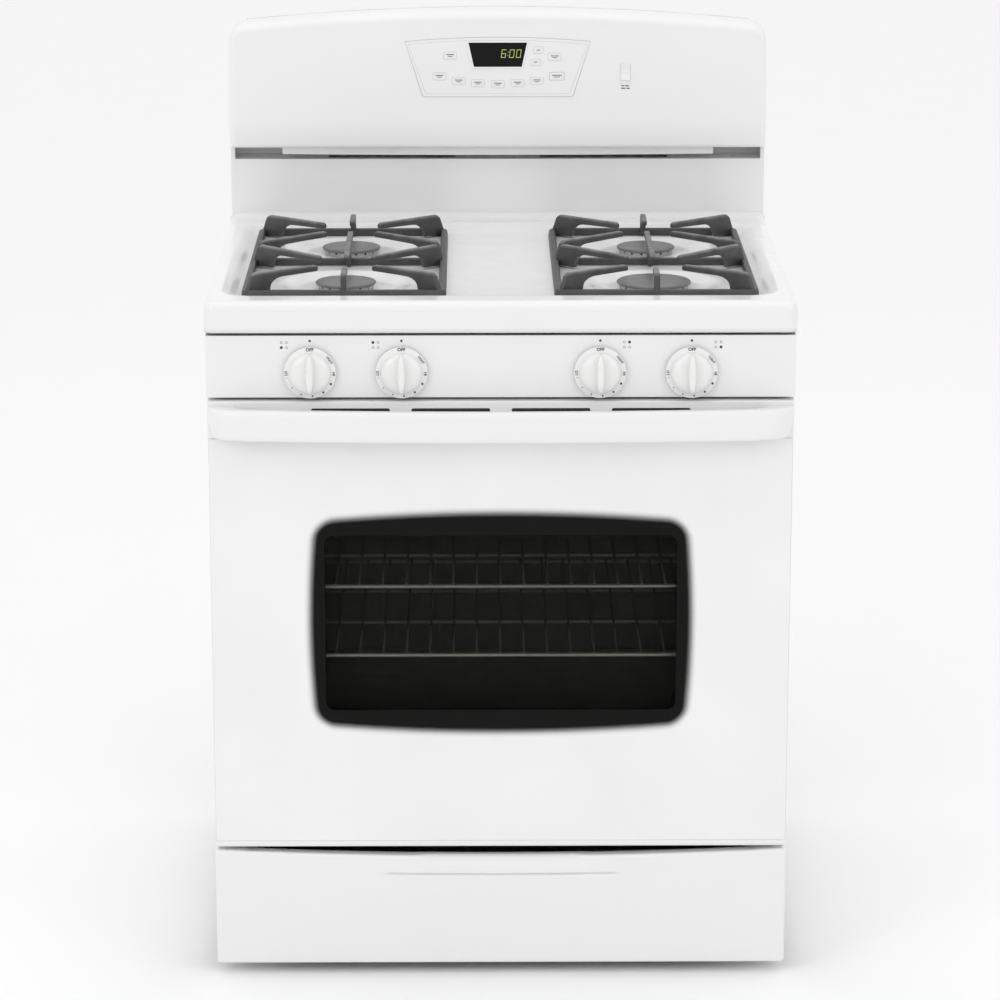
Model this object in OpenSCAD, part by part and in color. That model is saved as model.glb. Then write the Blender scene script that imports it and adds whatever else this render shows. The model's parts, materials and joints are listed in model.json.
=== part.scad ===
// Freestanding gas range of the 30 inch class, built as the assembly it is:
// sheet-metal chassis, oven, drop-down door, storage drawer, sealed-burner
// cooktop with two lift-off grates, and a backguard with the clock console.
//
// Frame: +Z up, the front faces -Y, +X is to the right seen from the front.
// The origin is on the floor, under the middle of the overall width and depth.

/* [Overall] */
// Width of the cooktop, the widest part
cooktop_w = 759; // [700:1:920]
// Height of the cooking surface above the floor
cooktop_h = 914; // [880:1:1110]
// Depth from the face of the door to the back of the rear panel
body_d = 635; // [520:1:770]
// Height of the backguard's crest above the cooking surface
backguard_h = 296; // [260:1:360]

/* [Sheet metal and fits] */
// Thickness of the enamelled outer sheet
skin_t = 1.5; // [1:0.1:2]
// Thickness of the chassis sheet
frame_t = 2; // [1.5:0.1:3]
// Thickness of the oven liner
liner_t = 1.5; // [1:0.1:2]
// Radial clearance of a shaft or pin in its bore
run_gap = 0.05; // [0.03:0.01:0.1]
// Gap between loose neighbouring parts
free_gap = 1; // [0.6:0.1:2]
// Gap that shows between the front panels
panel_gap = 4; // [3.5:0.5:6]

/* [Cooktop] */
// Height of the cooktop's fascia
fascia_h = 40; // [30:1:50]
// How far the fascia stands ahead of the door face
fascia_reach = 3.5; // [2:0.5:8]
// Radius of the cooktop's corners seen from above
cooktop_corner_r = 10; // [6:1:20]
// Width of the flat rim at each side of the basin
rim_side = 28; // [20:1:40]
// Width of the flat rim in front of the basin
rim_front = 50; // [40:1:60]
// Width of the flat rim behind the basin
rim_rear = 32; // [20:1:50]
// Depth of the basin below the cooking surface
basin_depth = 11; // [8:1:14]
// Depth of the round bowl under each burner, below the basin
bowl_depth = 7; // [4:1:10]
// Radius of the round bowl under each burner
bowl_r = 90; // [70:1:95]
// Radius of the cove between the cooktop and the backguard
cove_r = 12; // [8:1:20]

/* [Burners] */
// Radius of the three standard burner caps
cap_r = 40; // [34:1:46]
// Radius of the large cap at the front right
large_cap_r = 49; // [42:1:56]
// Thickness of a burner cap
cap_t = 4.5; // [3:0.5:7]
// Height of a burner head above its bowl
head_h = 6.5; // [5:0.5:9]
// How far a cap overhangs its head
cap_overhang = 4; // [3:0.5:6]
// Number of gas ports around a burner head
port_count = 16; // [8:1:24]
// Radius of the throat under a burner head
throat_r = 14; // [10:1:18]
// Distance from a grate's front or rear bar to the middle of its burner
burner_inset = 101; // [90:1:115]

/* [Grates] */
// Gap between the two grates
grate_gap = 140; // [100:1:160]
// Gap between a grate and the side of the basin
grate_side_gap = 15.5; // [8:0.5:24]
// Gap between a grate and the front or rear of the basin
grate_end_gap = 27; // [15:1:40]
// Height and width of a grate's base bars
grate_bar = 10; // [8:1:12]
// Width of a grate's fingers
finger_w = 8; // [6:0.5:10]
// Height of a finger's flat bar
finger_h = 9; // [7:0.5:12]
// How far the finger tops stand above the base bars
finger_rise = 21; // [16:1:28]
// Distance from a burner's middle to the tips of its fingers
finger_reach = 46; // [38:1:56]
// How much nearer the spine's tips come to a burner's middle than the other tips
spine_reach = 16; // [0:1:24]
// How far a grate lifts clear
grate_lift = 100; // [60:5:150]

/* [Control panel and knobs] */
// Height of the control panel
panel_h = 81; // [70:1:95]
// Distance of the two inner knobs from the middle
knob_inner_x = 127; // [110:1:150]
// Distance of the two outer knobs from the middle
knob_outer_x = 244; // [230:1:270]
// Height of the knob axes above the control panel's lower edge
knob_axis_h = 33.5; // [30:0.5:42]
// Radius of a knob's printed skirt
skirt_r = 33; // [32:0.5:38]
// Radius of a knob's dome
dome_r = 27; // [22:0.5:30]
// Width of a knob's grip blade
blade_w = 13; // [9:0.5:16]
// Height of a knob in front of the control panel
knob_reach = 30; // [24:1:36]
// Gap behind a knob's skirt, which its push travel uses
knob_gap = 4; // [3.6:0.1:6]
// Radius of a gas valve's stem
stem_r = 4; // [3:0.5:5.5]
// Travel of a knob when it is pushed in
push_travel = 3; // [2:0.5:3.5]

/* [Door] */
// Thickness of the door
door_t = 45; // [42:1:54]
// Compressed height of the oven gasket
gasket_t = 7.5; // [6:0.5:10]
// Thickness of the door's front glass
glass_t = 4; // [3:0.5:5]
// Width of the window at its middle
window_w = 499; // [400:1:560]
// Height of the window at its middle
window_h = 300; // [240:1:340]
// How far the window's top and bottom edges bulge
window_bulge_z = 12; // [4:1:20]
// How far the window's side edges bulge
window_bulge_x = 9; // [3:1:16]
// Corner radius of the window
window_corner_r = 26; // [12:1:40]
// Distance from the lower edge of the door to the middle of the window
window_axis_h = 308.6; // [250:0.5:330]
// Height of the trim that carries the handle
trim_h = 50; // [46:1:60]
// Height of the handle bar
handle_h = 42; // [32:1:44]
// Thickness of the handle bar
handle_t = 17; // [12:0.5:20]
// How far the middle of the handle stands ahead of the door face
handle_reach = 50; // [44:1:60]
// How much further forward the handle's middle is than its ends
handle_bow = 18; // [6:1:22]
// Height of the four air slots above the handle
slot_h = 4.5; // [3:0.5:6]
// Width of each air slot
slot_w = 101; // [80:1:110]
// Gap between neighbouring air slots
slot_gap = 27.5; // [20:0.5:32]
// Height of the rounded lip under the front glass
lip_h = 9.5; // [7:0.5:12]
// Radius of the rounded lip under the front glass
lip_r = 6; // [5:0.5:6.5]
// Distance from the middle to each door hinge
hinge_x = 330; // [315:1:336]
// Radius of the hinge pins
hinge_pin_r = 3.5; // [2.5:0.1:4.2]
// Depth of the hinge pins behind the door face
hinge_in = 12; // [11.5:0.5:14]
// Height of the hinge pins above the door's lower edge
hinge_up = 26; // [24:1:32]

/* [Drawer] */
// Height of the drawer front's lower edge above the floor
kick_h = 15; // [12:1:40]
// Height of the drawer front
drawer_h = 159.8; // [130:0.1:170]
// Thickness of the drawer front
drawer_front_t = 18; // [14:1:24]
// How far the middle of the drawer's top edge dips
drawer_dip = 5; // [2:0.5:8]
// Width of the drawer box
drawer_box_w = 620; // [560:1:630]
// Height of the drawer box
drawer_box_h = 84; // [60:1:100]
// Travel of the drawer
drawer_travel = 420; // [300:5:430]

/* [Oven] */
// Space between the oven cavity and each side of the body
oven_wall = 72.5; // [66:0.5:90]
// Space between the oven cavity and the back of the body
oven_back = 92.5; // [84:0.5:120]
// Height of the oven floor above the door's lower edge
oven_floor_h = 106.6; // [100:0.1:120]
// Distance from the oven's roof to the door's top edge
oven_roof_drop = 50; // [45:1:70]
// Thickness of the insulation
insulation_t = 40; // [30:1:45]
// Depth of the burner space under the oven floor
burner_box_h = 70; // [60:1:80]
// Number of rack levels
rack_levels = 7; // [5:1:7]
// Height between rack levels
rack_pitch = 47.2; // [40:0.1:48]
// Height of the lowest rack level above the oven floor
rack_first_h = 89.5; // [70:0.1:95]
// Level of the lower rack, counted from the bottom
lower_level = 2; // [1:1:3]
// Level of the upper rack, counted from the bottom
upper_level = 4; // [4:1:5]
// Radius of a rack's border wire
border_wire_r = 3; // [2.4:0.1:3.4]
// Radius of a rack's thin wires
thin_wire_r = 1.8; // [1.4:0.1:2.2]
// Spacing of a rack's thin wires
wire_pitch = 31; // [26:1:40]
// Free travel of a rack behind the closed door
rack_travel = 12; // [6:1:14]

/* [Backguard] */
// Depth of the backguard from its riser to the back
backguard_d = 56.5; // [50:0.5:80]
// Height of the riser above the cooking surface
riser_h = 87; // [70:1:110]
// Height of the vent slot between the riser and the console
vent_h = 19; // [14:1:26]
// How far the console stands ahead of the riser
console_reach = 24; // [16:1:30]
// Height of the console's upright lower band
console_band_h = 28; // [20:1:40]
// Angle by which the console's face leans back
console_lean = 9.9; // [6:0.1:11]
// How much the console's crest rises in the middle
crest_rise = 20; // [10:1:30]
// Corner radius at the ends of the crest
crest_corner_r = 22; // [10:1:30]
// Thickness of the console's shell
console_t = 2; // [1.6:0.1:2.4]

/* [Keypad] */
// Height of the keypad's middle above the console band
keypad_axis_h = 86; // [80:1:90]
// Width of the keypad overlay at its top
keypad_top_w = 261; // [256:1:280]
// Width of the keypad overlay at its bottom
keypad_bottom_w = 214; // [210:1:240]
// Height of the keypad overlay
keypad_h = 84; // [80:1:92]
// Width of a key
key_w = 20; // [16:0.5:22]
// Height of a key
key_h = 13; // [11:0.5:14]
// Travel of a key
key_travel = 0.7; // [0.4:0.1:0.9]
// Gap around a key
key_gap = 0.5; // [0.4:0.1:0.8]
// Distance of the oven light switch from the middle
switch_x = 179.5; // [160:0.5:220]
// Width of the oven light switch
switch_w = 13; // [11:0.5:16]
// Height of the oven light switch
switch_h = 22; // [20:0.5:26]

/* [Gas and power] */
// Radius of the gas inlet's pipe thread
inlet_r = 10.67; // [8:0.01:13.3]
// How far the gas inlet stands behind the rear panel
inlet_reach = 20; // [16:1:30]
// Distance of the gas inlet from the middle
inlet_x = 300; // [260:1:310]
// Height of the gas inlet above the floor
inlet_h = 110; // [90:1:140]
// Radius of the gas pipes
pipe_r = 8; // [6:0.5:10]
// Radius of a levelling leg's thread
leg_r = 5; // [4:0.5:6]
// Radius of a levelling leg's foot
foot_r = 16; // [12:1:20]

/* [Hidden] */
$fn = 48;

// Depth positions, from the front to the back
overall_d = handle_reach + body_d + inlet_reach;
door_y = -overall_d / 2 + handle_reach;
rear_y = door_y + body_d;
fascia_y = door_y - fascia_reach;
riser_y = rear_y - backguard_d;
frame_y = door_y + door_t + gasket_t;
door_back_y = door_y + door_t;
cavity_y0 = frame_y;
cavity_y1 = rear_y - oven_back;

// Widths
body_w = cooktop_w - 2 * skin_t - free_gap;
frame_w = body_w - 2 * skin_t;
door_w = body_w - 2;
cavity_w = body_w - 2 * oven_wall;
basin_w = cooktop_w - 2 * rim_side;

// Heights, from the floor up
base_z = kick_h + 13;
base_rail_h = 22;
drawer_top_z = kick_h + drawer_h;
door_z0 = drawer_top_z + 3.6;
fascia_z = cooktop_h - fascia_h;
panel_z1 = fascia_z - panel_gap;
panel_z0 = panel_z1 - panel_h;
door_z1 = panel_z0 - panel_gap;
trim_z0 = door_z1 - trim_h;
cavity_z0 = door_z0 + oven_floor_h;
cavity_z1 = door_z1 - oven_roof_drop;
burner_box_z = cavity_z0 - burner_box_h;
window_z = door_z0 + window_axis_h;
frame_top_z = panel_z0 + 2;
basin_z = cooktop_h - basin_depth;
bowl_z = basin_z - bowl_depth;
cap_z = bowl_z + head_h;
vent_z = cooktop_h + riser_h;
console_z = vent_z + vent_h;
band_z = console_z + console_band_h;
crest_z = cooktop_h + backguard_h;
console_y = riser_y - console_reach;
console_back_y = rear_y - console_t;
knob_z = panel_z0 + knob_axis_h;

// Grates and burners
basin_y0 = fascia_y + rim_front;
basin_y1 = riser_y - rim_rear;
grate_y0 = basin_y0 + grate_end_gap;
grate_y1 = basin_y1 - grate_end_gap;
grate_mid_y = (grate_y0 + grate_y1) / 2;
grate_w = (basin_w - grate_gap) / 2 - grate_side_gap;
grate_x = grate_gap / 2 + grate_w / 2;
grate_d = grate_y1 - grate_y0;
burner_y = [grate_y0 + burner_inset, grate_y1 - burner_inset];
bar_z = basin_z + 0.3;
// Each burner: place across, place in depth, cap radius
BURNERS = [
    [-grate_x, burner_y[0], cap_r],
    [-grate_x, burner_y[1], cap_r],
    [grate_x, burner_y[1], cap_r],
    [grate_x, burner_y[0], large_cap_r]];
// Knobs from left to right feed the burners in the same order
KNOB_X = [-knob_outer_x, -knob_inner_x, knob_inner_x, knob_outer_x];

// Gas line
manifold_y = frame_y + 22;
valve_front_y = door_y + 26;
valve_r = 12;
skirt_back_y = door_y - knob_gap;
pipe_z = knob_z;
riser_pipe_y = rear_y - skin_t - 25;

// Door hinges
pin_y = door_y + hinge_in;
pin_z = door_z0 + hinge_up;
arm_t = 6;
arm_r = hinge_pin_r + 3.5;
cheek_t = 3;
cheek_gap = 0.6;
hinge_slot_w = arm_t + 3;

// Racks
rack_w = cavity_w - 2 * 5;
rack_y0 = cavity_y0 + 8;
rack_y1 = cavity_y1 - 4 - rack_travel;
wire_count = floor((rack_w / 2 - 2 * border_wire_r - 6) / wire_pitch);
ledge_w = 16;
function rack_z(level) = cavity_z0 + rack_first_h + (level - 1) * rack_pitch + border_wire_r;

// Console face: distance up the leaning face from the band
keypad_bottom = keypad_axis_h - keypad_h / 2;
crest_r = (pow(body_w / 2, 2) + pow(crest_rise, 2)) / (2 * crest_rise);
// Each key: name, place across, place up from the keypad's middle, width, height
KEYS = [
    ["bake", -67, 16, key_w, key_h],
    ["timer", 80, 14, key_w, key_h],
    ["up", 57, 23.5, key_w - 4, key_h - 1],
    ["down", 53, 6.5, key_w - 4, key_h - 1],
    ["broil", -82, -13, key_w, key_h],
    ["warm", -55, -19.5, key_w, key_h],
    ["clean", -28, -22.5, key_w, key_h],
    ["delay", 0, -24, key_w, key_h],
    ["clock", 28, -22.5, key_w, key_h],
    ["start", 55, -19.5, key_w, key_h],
    ["cancel", 83, -13, key_w + 3, key_h + 1]];
overlay_t = 0.8;
display_top_w = 82;
display_bottom_w = 67;
display_h = 33.5;
display_up = 17;
switch_up = keypad_axis_h - 8;
switch_pin_r = 1.5;
switch_pin_in = 4;

// ---- Helpers ----

module box(x0, x1, y0, y1, z0, z1) {
    translate([x0, y0, z0])
        cube([x1 - x0, y1 - y0, z1 - z0]);
}

module both_sides() {
    children();
    mirror([1, 0, 0])
        children();
}

module rod_x(x0, x1, y, z, r) {
    translate([x0, y, z])
        rotate([0, 90, 0])
            cylinder(h = x1 - x0, r = r);
}

module rod_y(y0, y1, x, z, r) {
    translate([x, y0, z])
        rotate([-90, 0, 0])
            cylinder(h = y1 - y0, r = r);
}

module rod_z(z0, z1, x, y, r) {
    translate([x, y, z0])
        cylinder(h = z1 - z0, r = r);
}

module ball(p, r) {
    translate(p)
        sphere(r = r);
}

// Rectangle with round corners, centred
module rounded_rect(w, d, r) {
    square([w - 2 * r, d], center = true);
    square([w, d - 2 * r], center = true);
    for (x = [-1, 1], y = [-1, 1])
        translate([x * (w / 2 - r), y * (d / 2 - r)])
            circle(r = r);
}

// Slab with rounded upright edges
module rounded_slab(w, y0, y1, z0, z1, r) {
    translate([0, (y0 + y1) / 2, z0])
        linear_extrude(z1 - z0)
            rounded_rect(w, y1 - y0, r);
}

// Plate that lies in an X-Z plane, drawn from a shape in X and Z
module upright_plate(y0, y1) {
    translate([0, y1, 0])
        rotate([90, 0, 0])
            linear_extrude(y1 - y0)
                children();
}

// Bulged rectangle with round corners: w and h at the middles, edges curved as
// parabolas that rise bx and bz, and the whole outline rounded by r.
function quarter_bulge(w, h, bx, bz, r, n) =
    let (cx = w / 2 - bx - r, cz = h / 2 - bz - r)
    let (a0 = atan(2 * bx / cz), a1 = 90 - atan(2 * bz / cx))
    concat(
        [for (i = [0:n])
            let (t = i / n, a = atan(2 * bx * t / cz))
            [cx + bx * (1 - t * t) + r * cos(a), cz * t + r * sin(a)]],
        [for (i = [1:n - 1])
            let (a = a0 + (a1 - a0) * i / n)
            [cx + r * cos(a), cz + r * sin(a)]],
        [for (i = [0:n])
            let (t = 1 - i / n, a = 90 - atan(2 * bz * t / cx))
            [cx * t + r * cos(a), cz + bz * (1 - t * t) + r * sin(a)]]);

function reversed(list) = [for (i = [len(list) - 1:-1:0]) list[i]];

module bulged_rect(w, h, bx, bz, r) {
    q = quarter_bulge(w, h, bx, bz, r, 5);
    inner = [for (i = [1:len(q) - 2]) q[i]];
    polygon(concat(
        [q[0]], inner, [q[len(q) - 1]],
        [for (p = reversed(inner)) [-p[0], p[1]]], [[-q[0][0], q[0][1]]],
        [for (p = inner) [-p[0], -p[1]]], [[0, -q[len(q) - 1][1]]],
        [for (p = reversed(inner)) [p[0], -p[1]]]));
}

// ---- Chassis and outer sheets ----

module chassis_frame() {
    mouth_x = cavity_w / 2 + liner_t + free_gap / 2;
    bay_x = drawer_box_w / 2 + 16;
    color("gainsboro")
        union() {
            // face frame around the drawer bay and the oven
            difference() {
                box(-frame_w / 2, frame_w / 2, frame_y, frame_y + frame_t, base_z, frame_top_z);
                box(-bay_x, bay_x, frame_y - 1, frame_y + frame_t + 1,
                    base_z - 1, drawer_top_z - 8);
                box(-mouth_x, mouth_x, frame_y - 1, frame_y + frame_t + 1,
                    burner_box_z - liner_t - free_gap / 2, cavity_z1 + liner_t + free_gap / 2);
            }
            both_sides() {
                difference() {
                    // base rail with a threaded hole for each levelling leg
                    box(frame_w / 2 - 45, frame_w / 2, frame_y + frame_t, rear_y - skin_t - 4,
                        base_z, base_z + base_rail_h);
                    for (y = leg_places)
                        rod_z(base_z - 1, base_z + base_rail_h + 1, leg_x, y, leg_r + run_gap);
                }
                // rear upright
                box(frame_w / 2 - 20, frame_w / 2, rear_y - skin_t - 29, rear_y - skin_t - 4,
                    base_z + base_rail_h, fascia_z);
                // top rail and front post that carry the cooktop
                box(frame_w / 2 - 10, frame_w / 2, frame_y + frame_t, rear_y - skin_t - 29,
                    fascia_z - 24, fascia_z - 4);
                box(frame_w / 2 - 22, frame_w / 2, frame_y, frame_y + frame_t,
                    frame_top_z, fascia_z - 4);
                // hinge receiver with its pin
                box(hinge_x - arm_t / 2, hinge_x + arm_t / 2, pin_y, frame_y, pin_z - arm_r,
                    pin_z + arm_r);
                rod_x(hinge_x - arm_t / 2, hinge_x + arm_t / 2, pin_y, pin_z, arm_r);
                rod_x(hinge_x - arm_t / 2 - cheek_gap - cheek_t,
                    hinge_x + arm_t / 2 + cheek_gap + cheek_t, pin_y, pin_z, hinge_pin_r);
            }
            // rear cross rail
            box(-frame_w / 2 + 45, frame_w / 2 - 45, rear_y - skin_t - 24, rear_y - skin_t - 4,
                base_z, base_z + base_rail_h);
        }
}

leg_x = frame_w / 2 - 26;
leg_places = [frame_y + 30, rear_y - 60];

module levelling_legs() {
    color("dimgray")
        for (x = [-leg_x, leg_x], y = leg_places) {
            rod_z(0, 8, x, y, foot_r);
            rod_z(8, base_z - 4, x, y, foot_r / 2);
            rod_z(base_z - 4, base_z + base_rail_h + 6, x, y, leg_r);
        }
}

module side_panels() {
    color("white")
        both_sides() {
            box(frame_w / 2, frame_w / 2 + skin_t, frame_y, rear_y - skin_t, base_z + 4,
                fascia_z + 22);
            // folded front edge
            box(frame_w / 2 - 12, frame_w / 2 + skin_t, frame_y - skin_t, frame_y, base_z + 4,
                panel_z0 - 0.5);
        }
}

module rear_panel() {
    slot_pitch = 16;
    color("silver")
        difference() {
            union() {
                box(-frame_w / 2 - skin_t, frame_w / 2 + skin_t, rear_y - skin_t, rear_y,
                    base_z + 4, console_z);
                // gland of the power cord
                rod_y(rear_y - skin_t, rear_y + 5, -inlet_x, inlet_h, 15);
            }
            rod_y(rear_y - skin_t - 1, rear_y + 6, -inlet_x, inlet_h, 5);
            rod_y(rear_y - skin_t - 1, rear_y + 1, inlet_x, inlet_h, inlet_r + 4);
            // cooling slots
            for (x = [-1, 1], i = [0:7])
                translate([x * frame_w / 4, 0, cavity_z1 + 20 + i * slot_pitch])
                    box(-60, 60, rear_y - skin_t - 1, rear_y + 1, 0, 5);
        }
}

// ---- Oven ----

lamp_x = -cavity_w / 2 + 75;
lamp_z = cavity_z1 - 45;
probe_x = cavity_w / 2 - 75;
probe_z = cavity_z1 - 55;
bake_z = burner_box_z + 35;
broil_z = cavity_z1 - 24;
flue_y0 = cavity_y1 - 40;

module oven_liner() {
    cx = cavity_w / 2;
    color("dimgray")
        difference() {
            union() {
                difference() {
                    box(-cx - liner_t, cx + liner_t, cavity_y0, cavity_y1 + liner_t,
                        burner_box_z - liner_t, cavity_z1 + liner_t);
                    box(-cx, cx, cavity_y0 + liner_t, cavity_y1, burner_box_z, cavity_z1);
                    box(-cx, cx, cavity_y0 - 1, cavity_y0 + liner_t + 1, cavity_z0, cavity_z1);
                }
                // front flange that the gasket meets
                difference() {
                    box(-cx - 14, cx + 14, cavity_y0 - liner_t, cavity_y0,
                        cavity_z0 - 14, cavity_z1 + 14);
                    box(-cx, cx, cavity_y0 - liner_t - 1, cavity_y0 + 1, cavity_z0, cavity_z1);
                }
                both_sides() {
                    // ledges of the rack levels
                    for (level = [1:rack_levels])
                        box(cx - ledge_w, cx, cavity_y0 + 24, cavity_y1 - 10,
                            rack_z(level) - border_wire_r - 5.3,
                            rack_z(level) - border_wire_r - 0.3);
                    // ledge under the oven floor
                    box(cx - 14, cx, cavity_y0 + liner_t, cavity_y1, cavity_z0 - 6, cavity_z0);
                }
            }
            // passages through the back wall
            rod_y(cavity_y1 - 1, cavity_y1 + liner_t + 1, lamp_x, lamp_z, 18);
            rod_y(cavity_y1 - 1, cavity_y1 + liner_t + 1, probe_x, probe_z, 4.2);
            rod_y(cavity_y1 - 1, cavity_y1 + liner_t + 1, 0, bake_z, 12);
            rod_y(cavity_y1 - 1, cavity_y1 + liner_t + 1, 0, broil_z, 12);
            // flue in the roof
            box(-70, 70, flue_y0, cavity_y1 - 12, cavity_z1 - 1, cavity_z1 + liner_t + 1);
        }
}

module oven_insulation() {
    cx = cavity_w / 2 + liner_t + 0.5;
    y0 = frame_y + frame_t + 0.5;
    y1 = cavity_y1 + liner_t + 0.5;
    z1 = cavity_z1 + liner_t + 0.5;
    color("khaki")
        difference() {
            box(-cx - insulation_t, cx + insulation_t, y0, y1 + insulation_t,
                burner_box_z, z1 + insulation_t);
            box(-cx, cx, y0 - 1, y1, burner_box_z - 1, z1);
            rod_y(y1 - 1, y1 + insulation_t + 1, lamp_x, lamp_z, 20);
            rod_y(y1 - 1, y1 + insulation_t + 1, probe_x, probe_z, 6);
            rod_y(y1 - 1, y1 + insulation_t + 1, 0, bake_z, 14);
            rod_y(y1 - 1, y1 + insulation_t + 1, 0, broil_z, 14);
            box(-74, 74, flue_y0 - 4, cavity_y1 - 8, z1 - 1, z1 + insulation_t + 1);
        }
}

module oven_floor() {
    cx = cavity_w / 2 - free_gap;
    color("dimgray")
        difference() {
            box(-cx, cx, cavity_y0 + liner_t + free_gap, cavity_y1 - free_gap,
                cavity_z0, cavity_z0 + liner_t);
            // heat slots along both sides
            for (x = [-1, 1], i = [0:6])
                translate([x * (cx - 40), cavity_y0 + 60 + i * 48, 0])
                    box(-6, 6, 0, 30, cavity_z0 - 1, cavity_z0 + liner_t + 1);
        }
}

// Ladder of gas tubes with a feed tube at the back
module tube_burner(half_w, y0, y1, z, r, feed_y) {
    both_sides() {
        rod_y(y0, y1, half_w, z, r);
        ball([half_w, y0, z], r);
        ball([half_w, y1, z], r);
    }
    rod_x(-half_w, half_w, y0, z, r);
    rod_x(-half_w, half_w, y1, z, r);
    rod_y(y1, feed_y, 0, z, r);
}

module bake_burner() {
    color("slategray")
        tube_burner(110, cavity_y0 + 70, cavity_y1 - 60, bake_z, 9,
            cavity_y1 + liner_t + insulation_t + 8);
}

module broil_burner() {
    z_pan = broil_z + 12;
    color("slategray")
        union() {
            tube_burner(80, cavity_y0 + 110, cavity_y1 - 90, broil_z, 8,
                cavity_y1 + liner_t + insulation_t + 8);
            // reflector over the tubes, hung from the roof
            box(-120, 120, cavity_y0 + 80, cavity_y1 - 60, z_pan - 5, z_pan - 3.5);
            for (x = [-100, 100], y = [cavity_y0 + 100, cavity_y1 - 80])
                rod_z(z_pan - 4, cavity_z1, x, y, 4);
        }
}

module oven_lamp() {
    color("lightyellow")
        union() {
            rod_y(cavity_y1 - 14, cavity_y1 + insulation_t + liner_t + 10, lamp_x, lamp_z, 15);
            rod_y(cavity_y1 - 3, cavity_y1, lamp_x, lamp_z, 24);
            ball([lamp_x, cavity_y1 - 14, lamp_z], 15);
        }
}

module temperature_probe() {
    color("silver")
        union() {
            rod_y(cavity_y1 - 110, cavity_y1 + insulation_t + liner_t + 10, probe_x, probe_z, 3);
            ball([probe_x, cavity_y1 - 110, probe_z], 3);
            rod_y(cavity_y1 - 2, cavity_y1, probe_x, probe_z, 9);
        }
}

// One wire rack, its border wire centred at height z
module oven_rack(z) {
    x1 = rack_w / 2 - border_wire_r;
    y0 = rack_y0 + border_wire_r;
    y1 = rack_y1 - border_wire_r;
    color("silver")
        union() {
            for (y = [y0, y1])
                rod_x(-x1, x1, y, z, border_wire_r);
            for (x = [-x1, x1]) {
                rod_y(y0, y1, x, z, border_wire_r);
                ball([x, y0, z], border_wire_r);
                ball([x, y1, z], border_wire_r);
            }
            for (i = [-wire_count:wire_count])
                rod_y(y0, y1, i * wire_pitch, z + border_wire_r - thin_wire_r / 2, thin_wire_r);
            for (y = [y0 + (y1 - y0) / 3, y0 + (y1 - y0) * 2 / 3])
                rod_x(-x1, x1, y, z, border_wire_r - 0.6);
        }
}

module oven_rack_upper() {
    oven_rack(rack_z(upper_level));
}

module oven_rack_lower() {
    oven_rack(rack_z(lower_level));
}

// ---- Cooktop ----

module cooktop() {
    color("white")
        difference() {
            union() {
                // top with its fascia and skirts, square and open at the back
                difference() {
                    rounded_slab(cooktop_w, fascia_y, riser_y + 20, fascia_z, cooktop_h,
                        cooktop_corner_r);
                    rounded_slab(cooktop_w - 2 * skin_t, fascia_y + skin_t, riser_y + 40,
                        fascia_z - 1, cooktop_h - skin_t, cooktop_corner_r - skin_t);
                    box(-cooktop_w, cooktop_w, riser_y, riser_y + 21, fascia_z - 1,
                        cooktop_h + 1);
                }
                // basin pan and the burner bowls under it
                rounded_slab(basin_w + 2 * skin_t, basin_y0 - skin_t, basin_y1 + skin_t,
                    basin_z - skin_t, cooktop_h, 24);
                for (b = BURNERS)
                    rod_z(bowl_z - skin_t, basin_z, b[0], b[1], bowl_r + skin_t);
                // cove along the back
                difference() {
                    box(-cooktop_w / 2 + skin_t, cooktop_w / 2 - skin_t, riser_y - cove_r,
                        riser_y, cooktop_h, cooktop_h + cove_r);
                    rod_x(-cooktop_w, cooktop_w, riser_y - cove_r - skin_t,
                        cooktop_h + cove_r + skin_t, cove_r + skin_t / 2);
                }
            }
            rounded_slab(basin_w, basin_y0, basin_y1, basin_z, cooktop_h + 1, 22.5);
            for (b = BURNERS) {
                rod_z(bowl_z, basin_z + 1, b[0], b[1], bowl_r);
                rod_z(bowl_z - skin_t - 1, bowl_z + 1, b[0], b[1], throat_r + free_gap);
            }
        }
}

// Burner head: hollow-throated disc with radial gas ports
module burner_head(b) {
    r = b[2] - cap_overhang;
    translate([b[0], b[1], 0])
        difference() {
            union() {
                rod_z(bowl_z, cap_z, 0, 0, r);
                rod_z(bowl_z - skin_t - 14, bowl_z, 0, 0, throat_r);
            }
            rod_z(bowl_z - skin_t - 15, bowl_z + 3, 0, 0, throat_r - 3);
            for (i = [0:port_count - 1])
                rotate([0, 0, (i + 0.5) * 360 / port_count])
                    box(r - 6, r + 1, -1.5, 1.5, cap_z - 3, cap_z + 1);
        }
}

module burner_heads() {
    color("silver")
        for (b = BURNERS)
            burner_head(b);
}

module burner_caps() {
    color("dimgray")
        for (b = BURNERS)
            translate([b[0], b[1], cap_z]) {
                cylinder(h = cap_t - 1.5, r = b[2]);
                translate([0, 0, cap_t - 1.5])
                    cylinder(h = 1.5, r1 = b[2], r2 = b[2] - 3);
            }
}

module spark_electrodes() {
    color("ivory")
        for (b = BURNERS) {
            x = b[0];
            y = b[1] + b[2] + 2;
            rod_z(bowl_z, cap_z - 2.5, x, y, 3);
            rod_z(cap_z - 2.5, cap_z + 1, x, y, 1.2);
        }
}

// ---- Gas line ----

module gas_manifold() {
    top_z = pipe_z;
    end_x = inlet_x;
    color("darkgray")
        union() {
            rod_x(-knob_outer_x - 22, end_x, manifold_y, top_z, pipe_r);
            ball([end_x, manifold_y, top_z], pipe_r);
            rod_y(manifold_y, riser_pipe_y, end_x, top_z, pipe_r);
            ball([end_x, riser_pipe_y, top_z], pipe_r);
            rod_z(inlet_h + 24, top_z, end_x, riser_pipe_y, pipe_r);
        }
}

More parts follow.
